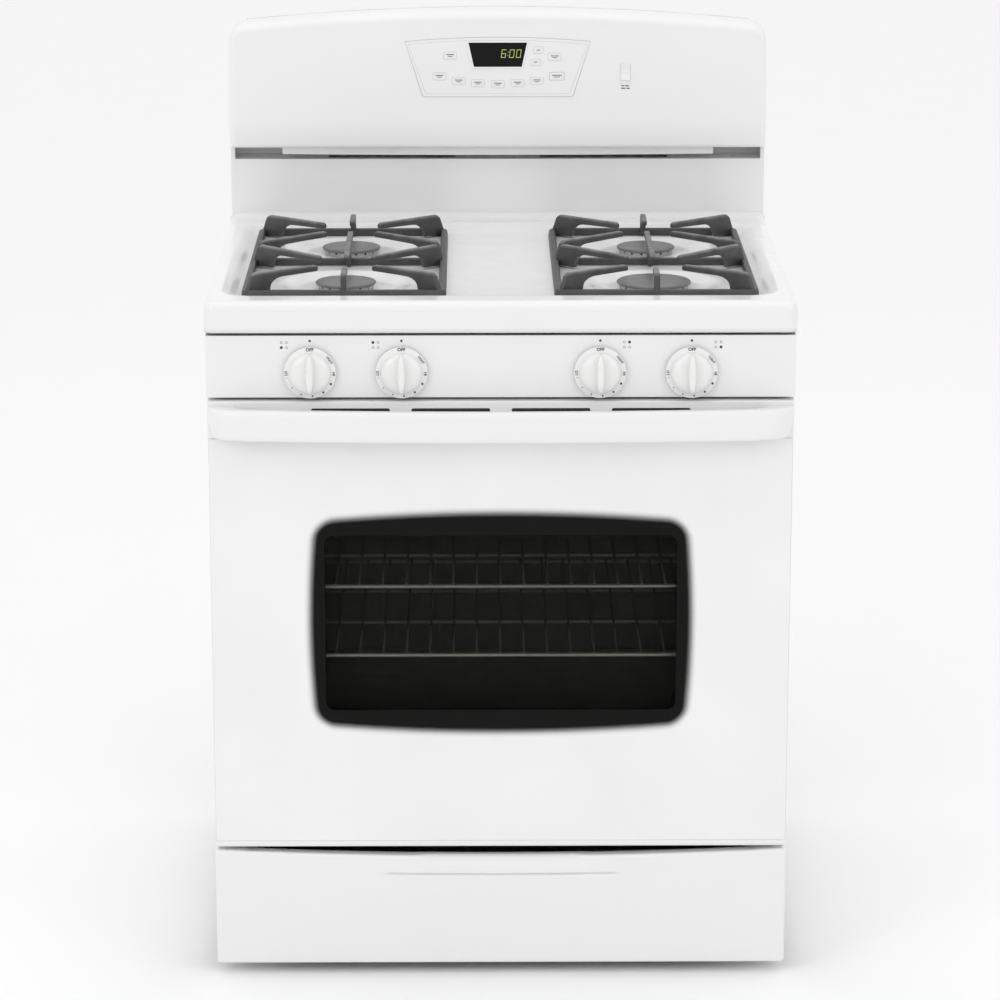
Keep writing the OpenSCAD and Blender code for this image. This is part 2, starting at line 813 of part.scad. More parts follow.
module pressure_regulator() {
    color("darkgray")
        union() {
            rod_z(inlet_h - 22, inlet_h + 24, inlet_x, riser_pipe_y, 20);
            rod_y(riser_pipe_y, rear_y + 3, inlet_x, inlet_h, inlet_r - 1.2);
            // pipe thread behind the rear panel
            rod_y(rear_y + 2, rear_y + inlet_reach, inlet_x, inlet_h, inlet_r);
        }
}

module burner_valves() {
    stem_end_y = manifold_y - 6;
    color("goldenrod")
        for (x = KNOB_X)
            difference() {
                union() {
                    rod_y(valve_front_y, manifold_y - pipe_r, x, knob_z, valve_r);
                    box(x - 10, x + 10, manifold_y - pipe_r - 6, manifold_y - pipe_r + 1.5,
                        knob_z - 14, knob_z + 14);
                    // outlet at the top
                    rod_z(knob_z, knob_z + 20, x, valve_front_y + 12, 5);
                }
                rod_y(valve_front_y - 1, valve_front_y + 14, x, knob_z, stem_r + run_gap);
                // keep the saddle off the pipe itself
                rod_x(x - 11, x + 11, manifold_y, knob_z, pipe_r);
            }
}

// From each valve up, back and across to the throat of its burner
module burner_tubes() {
    r = 5;
    elbow_r = r + 0.6;
    z = knob_z + 30;
    y0 = valve_front_y + 12;
    color("silver")
        for (i = [0:3]) {
            valve_x = KNOB_X[i];
            b = BURNERS[i];
            union() {
                rod_z(knob_z + 20, z, valve_x, y0, r);
                ball([valve_x, y0, z], elbow_r);
                rod_y(y0, b[1], valve_x, z, r);
                ball([valve_x, b[1], z], elbow_r);
                rod_x(min(valve_x, b[0]), max(valve_x, b[0]), b[1], z, r);
                rod_z(z - r - 3, bowl_z - skin_t - 14, b[0], b[1], r + 4);
            }
        }
}

// ---- Control panel and knobs ----

module control_panel() {
    color("white")
        difference() {
            box(-body_w / 2, body_w / 2, door_y, frame_y, panel_z0, panel_z1);
            box(-body_w / 2 + skin_t, body_w / 2 - skin_t, door_y + skin_t, frame_y + 1,
                panel_z0 + skin_t, panel_z1 - skin_t);
            for (x = KNOB_X)
                rod_y(door_y - 1, door_y + skin_t + 1, x, knob_z, stem_r + 2);
        }
}

module valve_stem(i) {
    x = KNOB_X[i];
    color("silver")
        union() {
            rod_y(skirt_back_y - 14, valve_front_y + 14 - push_travel - 1, x, knob_z, stem_r);
            // spring collar behind the panel
            rod_y(valve_front_y - push_travel - 5, valve_front_y - push_travel - 2, x, knob_z,
                stem_r + 3);
        }
}

// Knob with a printed skirt, a shallow dome and a grip blade
module knob(i) {
    x = KNOB_X[i];
    front = door_y - knob_reach;
    dome_back = skirt_back_y - 2.5;
    dome_front = dome_back - 7;
    color("white")
        difference() {
            union() {
                rod_y(dome_back, skirt_back_y, x, knob_z, skirt_r);
                rod_y(dome_front + 2, dome_back, x, knob_z, dome_r);
                translate([x, dome_front + 2, knob_z])
                    rotate([90, 0, 0])
                        cylinder(h = 2, r1 = dome_r, r2 = dome_r - 2);
                intersection() {
                    box(x - blade_w / 2, x + blade_w / 2, front, dome_front + 1,
                        knob_z - dome_r, knob_z + dome_r);
                    rod_y(front - 1, dome_front + 2, x, knob_z, dome_r - 1);
                }
            }
            rod_y(skirt_back_y - 14, skirt_back_y + 1, x, knob_z, stem_r + run_gap);
        }
}

module valve_stem_1() {
    valve_stem(0);
}

module valve_stem_2() {
    valve_stem(1);
}

module valve_stem_3() {
    valve_stem(2);
}

module valve_stem_4() {
    valve_stem(3);
}

module knob_1() {
    knob(0);
}

module knob_2() {
    knob(1);
}

module knob_3() {
    knob(2);
}

module knob_4() {
    knob(3);
}

// ---- Grates ----

// Finger: a post that rises from the base bar, and a level bar on it that runs to the tip
module finger(root, angle, length) {
    top = grate_bar + finger_rise;
    under = top - finger_h;
    post_w = finger_w + 2;
    translate([root[0], root[1], bar_z])
        rotate([0, 0, angle]) {
            translate([6, -post_w / 2, grate_bar / 2])
                cube([24, post_w, under - grate_bar / 2 + 1]);
            translate([10, -finger_w / 2, under])
                cube([length - 10, finger_w, finger_h]);
        }
}

module grate(cx) {
    side = grate_w / 2;
    color("dimgray")
        union() {
            // base frame
            translate([cx, grate_mid_y, bar_z])
                linear_extrude(grate_bar)
                    difference() {
                        rounded_rect(grate_w, grate_d, 14);
                        rounded_rect(grate_w - 2 * grate_bar, grate_d - 2 * grate_bar, 6);
                    }
            box(cx - side + 1, cx + side - 1, grate_mid_y - grate_bar / 2,
                grate_mid_y + grate_bar / 2, bar_z, bar_z + grate_bar);
            for (y = burner_y) {
                // diagonal fingers from the four corners of the burner's field
                near = y < grate_mid_y ? grate_y0 + 6 : grate_mid_y + 4;
                far = y < grate_mid_y ? grate_mid_y - 4 : grate_y1 - 6;
                for (sx = [-1, 1], ry = [near, far]) {
                    dx = side - 6;
                    dy = ry - y;
                    finger([cx + sx * dx, ry], atan2(-dy, -sx * dx), norm([dx, dy]) - finger_reach);
                }
            }
            // centre line fingers at the front and back
            finger([cx, grate_y0 + 1], 90, burner_inset - finger_reach);
            finger([cx, grate_y1 - 1], -90, burner_inset - finger_reach);
            // spine over the cross bar
            spine = (burner_y[1] - burner_y[0]) / 2 - finger_reach + spine_reach;
            translate([cx - finger_w / 2, grate_mid_y, bar_z])
                rotate([90, 0, 90])
                    linear_extrude(finger_w)
                        spine_profile(spine);
        }
}

// Side view of the spine, from the foot on the cross bar to both tips
module spine_profile(reach) {
    top = grate_bar + finger_rise;
    under = top - finger_h;
    polygon([
        [-reach, top], [-reach, under], [-30, under], [-19, under - 5], [-14, under - 14],
        [-12, 0.5], [12, 0.5], [14, under - 14], [19, under - 5], [30, under],
        [reach, under], [reach, top]]);
}

module grate_left() {
    grate(-grate_x);
}

module grate_right() {
    grate(grate_x);
}

// ---- Backguard ----

module backguard_riser() {
    side_x = body_w / 2;
    color("white")
        difference() {
            box(-side_x, side_x, riser_y, rear_y - skin_t, fascia_z + 22.5, console_z);
            // hollow behind the face, open at the back and at the bottom
            box(-side_x + skin_t, side_x - skin_t, riser_y + skin_t, rear_y,
                fascia_z, vent_z - 2);
            // vent slot under the console
            box(-side_x + 6, side_x - 6, riser_y - 1, rear_y - skin_t - 8, vent_z,
                console_z - skin_t);
            // flue passage from below into the vent
            for (x = [-1, 1])
                translate([x * 150, 0, 0])
                    box(-90, 90, riser_y + 14, rear_y - skin_t - 14, vent_z - 3, vent_z + 1);
        }
}

// Side profile of the console, inset by t, from the front face to y_back
module console_profile(t, y_back) {
    face = t / cos(console_lean);
    top = crest_z + 1;
    y_top = console_y + (top - band_z) * tan(console_lean);
    polygon([
        [console_y + t, console_z + t],
        [console_y + t, band_z - t * tan(console_lean / 2)],
        [y_top + face, top],
        [y_back, top],
        [y_back, console_z + t]]);
}

// Front outline of the console, inset by t
module console_outline(t) {
    side = body_w / 2 - t;
    shoulder = crest_z - crest_rise - crest_corner_r;
    intersection() {
        translate([0, crest_z - crest_r])
            circle(r = crest_r - t, $fn = 200);
        union() {
            translate([-side, console_z + t])
                square([2 * side, shoulder - console_z - t]);
            translate([-side + crest_corner_r, shoulder - 1])
                square([2 * (side - crest_corner_r), crest_rise + crest_corner_r + 2]);
            for (x = [-1, 1])
                translate([x * (side - crest_corner_r), shoulder])
                    circle(r = crest_corner_r);
        }
    }
}

module console_solid(t, y_back) {
    intersection() {
        rotate([90, 0, 90])
            translate([0, 0, -body_w / 2])
                linear_extrude(body_w)
                    console_profile(t, y_back);
        upright_plate(console_y - 1, y_back + 1)
            console_outline(t);
    }
}

// Moves its children onto the leaning face: X across, Y inward, Z up the face
module on_face() {
    translate([0, console_y, band_z])
        rotate([-console_lean, 0, 0])
            children();
}

module key_opening(k, gap, y0, y1) {
    translate([k[1], 0, keypad_axis_h + k[2]])
        upright_plate(y0, y1)
            rounded_rect(k[3] + 2 * gap, k[4] + 2 * gap, 3);
}

module display_shape(grow) {
    translate([0, keypad_axis_h + display_up])
        polygon([
            [-display_bottom_w / 2 - grow, -display_h / 2 - grow],
            [display_bottom_w / 2 + grow, -display_h / 2 - grow],
            [display_top_w / 2 + grow, display_h / 2 + grow],
            [-display_top_w / 2 - grow, display_h / 2 + grow]]);
}

module console_shell() {
    pin_half = switch_w / 2 + 4;
    color("white")
        difference() {
            union() {
                difference() {
                    console_solid(0, console_back_y);
                    console_solid(console_t, console_back_y + 5);
                }
                // bearing blocks of the light switch
                on_face()
                    for (x = [-1, 1])
                        translate([switch_x + x * (switch_w / 2 + 3), 0, switch_up])
                            box(-1.8, 1.8, 1, switch_pin_in + 4, -5, 5);
                // lip that drops into the vent slot
                box(-body_w * 0.4, body_w * 0.4, console_y + 4, console_y + 4 + console_t,
                    console_z - 5, console_z + 1);
            }
            on_face() {
                for (k = KEYS)
                    key_opening(k, key_gap, -2, console_t + 1);
                upright_plate(-2, console_t + 1)
                    display_shape(-2);
                translate([switch_x, 0, switch_up])
                    box(-switch_w / 2 - 0.6, switch_w / 2 + 0.6, -2, console_t + 1,
                        -switch_h / 2 - 0.6, switch_h / 2 + 0.6);
                rod_x(switch_x - pin_half - 1, switch_x + pin_half + 1, switch_pin_in,
                    switch_up, switch_pin_r + run_gap);
            }
        }
}

module console_rear_cover() {
    color("silver")
        upright_plate(console_back_y, rear_y)
            console_outline(0);
}

module keypad_overlay() {
    bottom = keypad_bottom;
    color("whitesmoke")
        on_face()
            difference() {
                upright_plate(-overlay_t, 0)
                    polygon(concat(
                        [[-keypad_bottom_w / 2, bottom], [keypad_bottom_w / 2, bottom]],
                        [for (i = [0:8])
                            let (t = 1 - i / 4)
                            [t * keypad_top_w / 2, bottom + keypad_h - 6 * t * t]]));
                for (k = KEYS)
                    key_opening(k, key_gap, -2, 1);
                upright_plate(-2, 1)
                    display_shape(0.2);
            }
}

module display_lens() {
    color("black")
        on_face()
            union() {
                upright_plate(-overlay_t - 0.4, 0)
                    display_shape(0);
                upright_plate(-0.1, console_t + 1)
                    display_shape(-2.3);
            }
}

module control_board() {
    color("darkgreen")
        on_face()
            union() {
                box(-118, 118, 11, 12.6, keypad_axis_h - 38, keypad_axis_h + 34);
                // display block that reaches up to the lens
                box(-30, 30, console_t + 1, 11, keypad_axis_h + display_up - 13,
                    keypad_axis_h + display_up + 13);
                // standoffs to the shell
                for (x = [-108, 108], z = [keypad_axis_h - 32, keypad_axis_h + 28])
                    rod_y(console_t, 11, x, z, 3);
            }
}

module key(k) {
    color("whitesmoke")
        on_face()
            union() {
                key_opening(k, 0, -overlay_t - 0.9, console_t + 0.6);
                key_opening(k, 1.2, console_t + 0.5, console_t + 2);
            }
}

module key_bake() {
    key(KEYS[0]);
}

module key_timer() {
    key(KEYS[1]);
}

module key_up() {
    key(KEYS[2]);
}

module key_down() {
    key(KEYS[3]);
}

module key_broil() {
    key(KEYS[4]);
}

module key_warm() {
    key(KEYS[5]);
}

module key_clean() {
    key(KEYS[6]);
}

module key_delay() {
    key(KEYS[7]);
}

module key_clock() {
    key(KEYS[8]);
}

module key_start() {
    key(KEYS[9]);
}

module key_cancel() {
    key(KEYS[10]);
}

module light_switch() {
    half = switch_w / 2;
    color("white")
        on_face()
            union() {
                difference() {
                    translate([switch_x, 0, switch_up])
                        box(-half, half, -1.6, switch_pin_in + 4, -switch_h / 2, switch_h / 2);
                    // hollow of the rocked face
                    rod_x(switch_x - half - 1, switch_x + half + 1, -42, switch_up, 41.5);
                }
                rod_x(switch_x - half - 4, switch_x + half + 4, switch_pin_in, switch_up,
                    switch_pin_r);
            }
}

// ---- Door ----

module window_shape(grow) {
    translate([0, window_z])
        bulged_rect(window_w + 2 * grow, window_h + 2 * grow, window_bulge_x, window_bulge_z,
            window_corner_r + grow);
}

module door_front_glass() {
    color("whitesmoke")
        box(-door_w / 2 + 1, door_w / 2 - 1, door_y, door_y + glass_t, door_z0 + lip_h,
            trim_z0 - 0.5);
}

module air_slots(y0, y1) {
    for (i = [-1.5:1:1.5])
        box(i * (slot_w + slot_gap) - slot_w / 2, i * (slot_w + slot_gap) + slot_w / 2,
            y0, y1, door_z1 - 18, door_z1 - 18 + slot_h);
}

module door_shell() {
    x1 = door_w / 2;
    y0 = door_y + glass_t;
    y1 = door_back_y - 3;
    color("white")
        difference() {
            union() {
                difference() {
                    box(-x1, x1, y0, y1, door_z0 + lip_r, door_z1);
                    box(-x1 + skin_t, x1 - skin_t, y0 + skin_t, y1 + 1, door_z0 + lip_r + skin_t,
                        door_z1 - skin_t);
                }
                // rounded lip under the glass
                difference() {
                    rod_x(-x1, x1, door_y + lip_r, door_z0 + lip_r, lip_r);
                    box(-x1 - 1, x1 + 1, door_y - 1, y0, door_z0 + lip_h, door_z0 + 3 * lip_r);
                }
                box(-x1, x1, door_y, y0 + skin_t, door_z0 + lip_r, door_z0 + lip_h);
                box(-x1, x1, door_y + lip_r, door_y + lip_r + 10, door_z0, door_z0 + lip_r + 1);
            }
            upright_plate(y0 - 1, y0 + skin_t + 1)
                window_shape(8);
            air_slots(y0 - 1, y0 + skin_t + 1);
            hinge_slots();
            // room for the lower back edge to swing past the chassis
            box(-x1 - 1, x1 + 1, door_y + 34, y1 + 1, door_z0 - 1, pin_z + 6);
        }
}

// Slots through which the hinge receivers reach their pins
module hinge_slots() {
    both_sides()
        box(hinge_x - hinge_slot_w / 2, hinge_x + hinge_slot_w / 2, pin_y - arm_r - 1.5,
            door_back_y + 1, door_z0 - 1, pin_z + arm_r + 1.5);
}

module door_inner_panel() {
    x1 = door_w / 2 - 3;
    y1 = door_back_y;
    low = pin_z + 6;
    color("dimgray")
        difference() {
            union() {
                box(-x1, x1, y1 - 3, y1 - 3 + liner_t, low, door_z1 - 3);
                // raised field inside the gasket
                difference() {
                    box(-cavity_w / 2 + 14, cavity_w / 2 - 14, y1 - 3, y1, cavity_z0 + 14,
                        cavity_z1 - 14);
                    box(-cavity_w / 2 + 26, cavity_w / 2 - 26, y1 - 4, y1 + 1, cavity_z0 + 26,
                        cavity_z1 - 26);
                }
                // seat of the gasket
                difference() {
                    box(-cavity_w / 2 - 14, cavity_w / 2 + 14, y1 - 3, y1, cavity_z0 - 14,
                        cavity_z1 + 14);
                    box(-cavity_w / 2 + 2, cavity_w / 2 - 2, y1 - 4, y1 + 1, cavity_z0 + 2,
                        cavity_z1 - 2);
                }
            }
            upright_plate(y1 - 4, y1 + 1)
                window_shape(-14);
            hinge_slots();
        }
}

module door_inner_glass() {
    y1 = door_back_y - 3;
    color("lightgray")
        box(-window_w / 2 - 6, window_w / 2 + 6, y1 - glass_t, y1, window_z - window_h / 2 - 6,
            window_z + window_h / 2 + 6);
}

module door_gasket() {
    x1 = cavity_w / 2 + 7;
    r = (gasket_t - liner_t - 0.5) / 2;
    y = door_back_y + r;
    z0 = cavity_z0 - 7;
    z1 = cavity_z1 + 7;
    color("dimgray")
        union() {
            for (x = [-x1, x1]) {
                rod_z(z0, z1, x, y, r);
                ball([x, y, z0], r);
                ball([x, y, z1], r);
            }
            for (z = [z0, z1])
                rod_x(-x1, x1, y, z, r);
        }
}

module door_hinges() {
    ear_x = arm_t / 2 + cheek_gap;
    y0 = door_y + glass_t + skin_t;
    y1 = pin_y + arm_r;
    top = pin_z + 150;
    color("silver")
        both_sides()
            difference() {
                union() {
                    for (s = [-1, 1])
                        translate([hinge_x + s * (ear_x + cheek_t / 2), 0, 0])
                            box(-cheek_t / 2, cheek_t / 2, y0, y1, pin_z - arm_r, top);
                    box(hinge_x - ear_x - cheek_t, hinge_x + ear_x + cheek_t, y0, y0 + 2,
                        pin_z + arm_r + 4, top);
                }
                rod_x(hinge_x - ear_x - cheek_t - 1, hinge_x + ear_x + cheek_t + 1, pin_y,
                    pin_z, hinge_pin_r + run_gap);
            }
}

// Distance of the handle's front face ahead of the door face, bowed as a parabola
function handle_front(t) = handle_reach - handle_bow * t * t;
// Rounding factor of the handle's ends: 1 along the bar, 0 at the very end
function end_round(t, share) = t < 1 - share ? 1 : sqrt(max(0, 1 - pow((t - 1 + share) / share, 2)));

module handle_plan(half, back) {
    n = 24;
    share = 34 / half;
    ts = [for (i = [-n:n]) sin(90 * i / n)];
    polygon([for (t = ts)
        [t * half, -(back + (handle_front(t) - back) * end_round(abs(t), share))]]);
}

module door_handle() {
    half = door_w / 2;
    plate_t = 4;
    inner_half = half - handle_t - 4;
    z0 = trim_z0 + 3;
    color("white")
        union() {
            difference() {
                translate([0, door_y, z0])
                    linear_extrude(handle_h)
                        difference() {
                            handle_plan(half, 0);
                            translate([0, handle_t])
                                intersection() {
                                    handle_plan(inner_half, 0);
                                    translate([-half, -100])
                                        square([2 * half, 100]);
                                }
                        }
                // room behind the bar
                box(-inner_half, inner_half, door_y - 6, door_y + 1, z0 - 1, z0 + handle_h + 1);
            }
            // trim plate with the air slots
            difference() {
                box(-half, half, door_y - plate_t + 2.5, door_y + plate_t, trim_z0, door_z1);
                air_slots(door_y - plate_t - 1, door_y + plate_t + 1);
            }
        }
}

// ---- Drawer ----

// Outline of the drawer front with its dipped top edge, inset by t
module drawer_outline(t, top_drop) {
    x1 = body_w / 2 - t;
    n = 12;
    polygon(concat(
        [[-x1, kick_h + t], [x1, kick_h + t]],
        [for (i = [n:-1:-n])
            let (u = i / n)
            [x1 * u, drawer_top_z - top_drop - drawer_dip * (1 - u * u)]]));
}

module drawer_front() {
    y1 = door_y + drawer_front_t;
    color("white")
        difference() {
            upright_plate(door_y, y1)
                drawer_outline(0, 0);
            // hollow back
            upright_plate(door_y + skin_t, y1 + 1)
                drawer_outline(skin_t, 7);
            // finger scoop behind the top edge
            box(-118, 118, door_y + 6, y1 + 1, drawer_top_z - drawer_dip - 6, drawer_top_z + 1);
        }
}

runner_z = base_z + 16;

module drawer_box() {
    x1 = drawer_box_w / 2;
    y0 = door_y + drawer_front_t;
    y1 = rear_y - 100;
    z0 = runner_z - 12;
    color("silver")
        union() {
            difference() {
                box(-x1, x1, y0, y1, z0, z0 + drawer_box_h);
                box(-x1 + skin_t, x1 - skin_t, y0 + skin_t, y1 - skin_t, z0 + skin_t,
                    z0 + drawer_box_h + 1);
            }
            both_sides()
                box(x1, x1 + 13, y0, y1, runner_z + 1, runner_z + 4);
        }
}

module drawer_rails() {
    x0 = drawer_box_w / 2 + 1;
    x1 = frame_w / 2 - 45;
    color("darkgray")
        both_sides()
            union() {
                box(x0 + 1, x1, frame_y + frame_t + 2, rear_y - 80, runner_z - 3, runner_z);
                box(x1 - 3, x1, frame_y + frame_t + 2, rear_y - 80, runner_z - 3, runner_z + 30);
            }
}

chassis_frame();
side_panels();
rear_panel();
levelling_legs();
oven_liner();
oven_insulation();
oven_floor();
bake_burner();
broil_burner();
oven_lamp();
temperature_probe();
cooktop();
burner_heads();
burner_caps();
spark_electrodes();
gas_manifold();
burner_valves();
burner_tubes();
pressure_regulator();
control_panel();
backguard_riser();
console_shell();
console_rear_cover();
control_board();
display_lens();
keypad_overlay();
drawer_rails();
key_bake();
key_timer();
key_up();
key_down();
key_broil();
key_warm();
key_clean();
key_delay();
key_clock();
key_start();
key_cancel();
light_switch();
valve_stem_1();
valve_stem_2();
valve_stem_3();
valve_stem_4();
knob_1();
knob_2();
knob_3();
knob_4();
grate_left();
grate_right();
oven_rack_upper();
oven_rack_lower();
door_front_glass();
door_shell();
door_inner_panel();
door_inner_glass();
door_handle();
door_gasket();
door_hinges();
drawer_front();
drawer_box();
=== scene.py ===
"""White freestanding gas range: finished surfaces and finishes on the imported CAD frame.

Lengths inside the shape functions are millimetres in the frame's axes (X right, Y back, Z up);
a piece is turned into metres when its mesh is made.
"""

import json
import math

import bmesh
import bpy
import numpy as np
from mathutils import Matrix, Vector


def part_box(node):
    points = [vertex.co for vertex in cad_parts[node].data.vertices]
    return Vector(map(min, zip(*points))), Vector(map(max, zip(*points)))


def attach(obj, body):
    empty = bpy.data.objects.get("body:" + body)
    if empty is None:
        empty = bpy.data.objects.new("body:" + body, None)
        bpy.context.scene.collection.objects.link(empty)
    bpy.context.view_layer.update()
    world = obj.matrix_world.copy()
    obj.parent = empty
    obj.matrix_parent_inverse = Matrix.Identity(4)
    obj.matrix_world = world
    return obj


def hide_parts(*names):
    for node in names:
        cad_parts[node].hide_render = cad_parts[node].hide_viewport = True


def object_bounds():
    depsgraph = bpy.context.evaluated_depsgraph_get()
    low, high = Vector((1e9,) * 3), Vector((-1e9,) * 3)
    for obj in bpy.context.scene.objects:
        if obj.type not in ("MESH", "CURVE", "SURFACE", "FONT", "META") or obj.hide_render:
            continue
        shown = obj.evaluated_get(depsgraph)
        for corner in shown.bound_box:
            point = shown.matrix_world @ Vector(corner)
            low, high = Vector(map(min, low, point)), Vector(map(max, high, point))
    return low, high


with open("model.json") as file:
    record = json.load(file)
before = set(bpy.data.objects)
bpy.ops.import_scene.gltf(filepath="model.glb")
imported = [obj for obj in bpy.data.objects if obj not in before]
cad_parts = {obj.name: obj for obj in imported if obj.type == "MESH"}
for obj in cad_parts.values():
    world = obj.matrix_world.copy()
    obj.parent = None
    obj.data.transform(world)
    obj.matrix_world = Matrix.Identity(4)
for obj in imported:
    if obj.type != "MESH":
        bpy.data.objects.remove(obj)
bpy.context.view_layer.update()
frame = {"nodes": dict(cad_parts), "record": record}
scene = bpy.context.scene
record = frame["record"]
slot_of = {part["node"]: part["material_slot"] for part in record["subparts"]}
body_of = {n: b for b, members in record["behaviour"]["bodies"].items() for n in members}


def reach(node):
    """Lowest and highest corner of a CAD node in millimetres, as two arrays."""
    low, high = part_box(node)
    return np.array(low) * 1000, np.array(high) * 1000


# ---------------------------------------------------------------- finishes


def new_finish(name):
    """An empty node material with its shader and its object-space coordinates."""
    material = bpy.data.materials.new(name)
    material.use_nodes = True
    tree = material.node_tree
    shader = tree.nodes["Principled BSDF"]
    place = tree.nodes.new("ShaderNodeTexCoord")
    return material, tree, shader, place.outputs["Object"]


def noise(tree, coord, scale, detail=3.0, rough=0.5):
    """Fractal noise of so many features per metre."""
    node = tree.nodes.new("ShaderNodeTexNoise")
    node.inputs["Scale"].default_value = scale
    node.inputs["Detail"].default_value = detail
    node.inputs["Roughness"].default_value = rough
    tree.links.new(coord, node.inputs["Vector"])
    return node.outputs["Fac"]


def blend_of(tree, factor, low, high, start=0.3, end=0.7):
    """Colour that runs from low to high as factor runs from start to end."""
    ramp = tree.nodes.new("ShaderNodeValToRGB")
    ramp.color_ramp.elements[0].position = start
    ramp.color_ramp.elements[1].position = end
    ramp.color_ramp.elements[0].color = (*low, 1)
    ramp.color_ramp.elements[1].color = (*high, 1)
    tree.links.new(factor, ramp.inputs["Fac"])
    return ramp.outputs["Color"]


def range_of(tree, factor, low, high, start=0.3, end=0.7):
    """Number that runs from low to high as factor runs from start to end."""
    node = tree.nodes.new("ShaderNodeMapRange")
    node.inputs["From Min"].default_value = start
    node.inputs["From Max"].default_value = end
    node.inputs["To Min"].default_value = low
    node.inputs["To Max"].default_value = high
    tree.links.new(factor, node.inputs["Value"])
    return node.outputs["Result"]


def dent(tree, shader, height, strength, distance):
    """Bump of the shader's normal by a height pattern, distance in metres."""
    node = tree.nodes.new("ShaderNodeBump")
    node.inputs["Strength"].default_value = strength
    node.inputs["Distance"].default_value = distance
    tree.links.new(height, node.inputs["Height"])
    tree.links.new(node.outputs["Normal"], shader.inputs["Normal"])
    return node


def maths(tree, operation, a, b=None):
    """One arithmetic node on sockets or numbers."""
    node = tree.nodes.new("ShaderNodeMath")
    node.operation = operation
    for i, value in enumerate((a, b)):
        if value is None:
            continue
        if isinstance(value, (int, float)):
            node.inputs[i].default_value = value
        else:
            tree.links.new(value, node.inputs[i])
    return node.outputs[0]


def axes_of(tree, coord):
    """The X, Y and Z sockets of a coordinate."""
    node = tree.nodes.new("ShaderNodeSeparateXYZ")
    tree.links.new(coord, node.inputs["Vector"])
    return node.outputs


def colour_mix(tree, factor, low, high):
    """Colour that runs from low to high with a 0 to 1 factor; each is a colour or a socket."""
    node = tree.nodes.new("ShaderNodeMix")
    node.data_type = "RGBA"
    tree.links.new(factor, node.inputs["Factor"])
    for name, value in (("A", low), ("B", high)):
        if isinstance(value, tuple):
            node.inputs[name].default_value = (*value, 1)
        else:
            tree.links.new(value, node.inputs[name])
    return node.outputs["Result"]


def feed(tree, shader, base, rough):
    """Links a colour and a roughness to the shader."""
    tree.links.new(base, shader.inputs["Base Color"])
    tree.links.new(rough, shader.inputs["Roughness"])


def layered(tree, factor, under, over):
    """Shows one shader and, by a 0 to 1 factor, another one instead."""
    mix = tree.nodes.new("ShaderNodeMixShader")
    tree.links.new(factor, mix.inputs["Fac"])
    tree.links.new(under.outputs["BSDF"], mix.inputs[1])
    tree.links.new(over.outputs["BSDF"], mix.inputs[2])
    tree.links.new(mix.outputs["Shader"], tree.nodes["Material Output"].inputs["Surface"])


def tone(colour, amount):
    """A colour made lighter or darker, at most white."""
    return tuple(min(1.0, c * amount) for c in colour)


def coated(name, colour, rough, peel, spread=0.03, metal=0.0, coat=0.0, speck=0.0, depth=0.00004):
    """Finish with a faint cloud in its colour, a cloud in its roughness and a fine surface peel."""
    material, tree, shader, coord = new_finish(name)
    cloud = noise(tree, coord, 7, 4)
    base = blend_of(tree, cloud, tone(colour, 1 - spread), tone(colour, 1 + spread * 0.4))
    if speck:
        grain = range_of(tree, noise(tree, coord, peel * 1.7, 2), 0, 1, 0.52, 0.7)
        base = colour_mix(tree, grain, base, tone(colour, 1 - speck))
    gloss = range_of(tree, noise(tree, coord, 31, 3), rough * 0.85, rough * 1.2)
    feed(tree, shader, base, gloss)
    dent(tree, shader, noise(tree, coord, peel, 2), 0.5, depth)
    shader.inputs["Metallic"].default_value = metal
    shader.inputs["Coat Weight"].default_value = coat
    shader.inputs["Coat Roughness"].default_value = 0.05
    return material


def brushed(name, colour, rough, along="X"):
    """Metal with fine drawn lines across one axis."""
    material, tree, shader, coord = new_finish(name)
    turn = tree.nodes.new("ShaderNodeMapping")
    stretch = {"X": (12, 700, 700), "Y": (700, 12, 700), "Z": (700, 700, 12)}[along]
    turn.inputs["Scale"].default_value = stretch
    tree.links.new(coord, turn.inputs["Vector"])
    lines = noise(tree, turn.outputs["Vector"], 1.0, 2)
    base = blend_of(tree, lines, tone(colour, 0.82), tone(colour, 1.1))
    feed(tree, shader, base, range_of(tree, lines, rough * 0.75, rough * 1.3))
    dent(tree, shader, lines, 0.3, 0.00003)
    shader.inputs["Metallic"].default_value = 1.0
    return material


def cast_iron():
    """Grey cast iron under a satin enamel: sand grain, pits, and tops painted lighter, partly pan
    wear and partly a painted highlight.
    """
    material, tree, shader, coord = new_finish("cast_iron_enamel")
    grain = noise(tree, coord, 900, 4, 0.65)
    cloud = noise(tree, coord, 45, 4)
    base = blend_of(tree, cloud, (0.034, 0.035, 0.037), (0.06, 0.06, 0.063))
    # painted highlight mixed with wear: the grate's upper faces, picked out by height and varied by
    # the cloud, are painted a lighter grey
    wear_and_highlight_mask = range_of(tree, axes_of(tree, coord)["Z"], 0, 1, 0.930, 0.9345)
    rub_and_highlight = maths(tree, "MULTIPLY", wear_and_highlight_mask, range_of(tree, cloud, 0.25, 1))
    base = colour_mix(tree, rub_and_highlight, base, (0.24, 0.24, 0.245))
    feed(tree, shader, base, range_of(tree, grain, 0.36, 0.56))
    dent(tree, shader, grain, 0.55, 0.00022)
    shader.inputs["Specular IOR Level"].default_value = 0.6
    return material


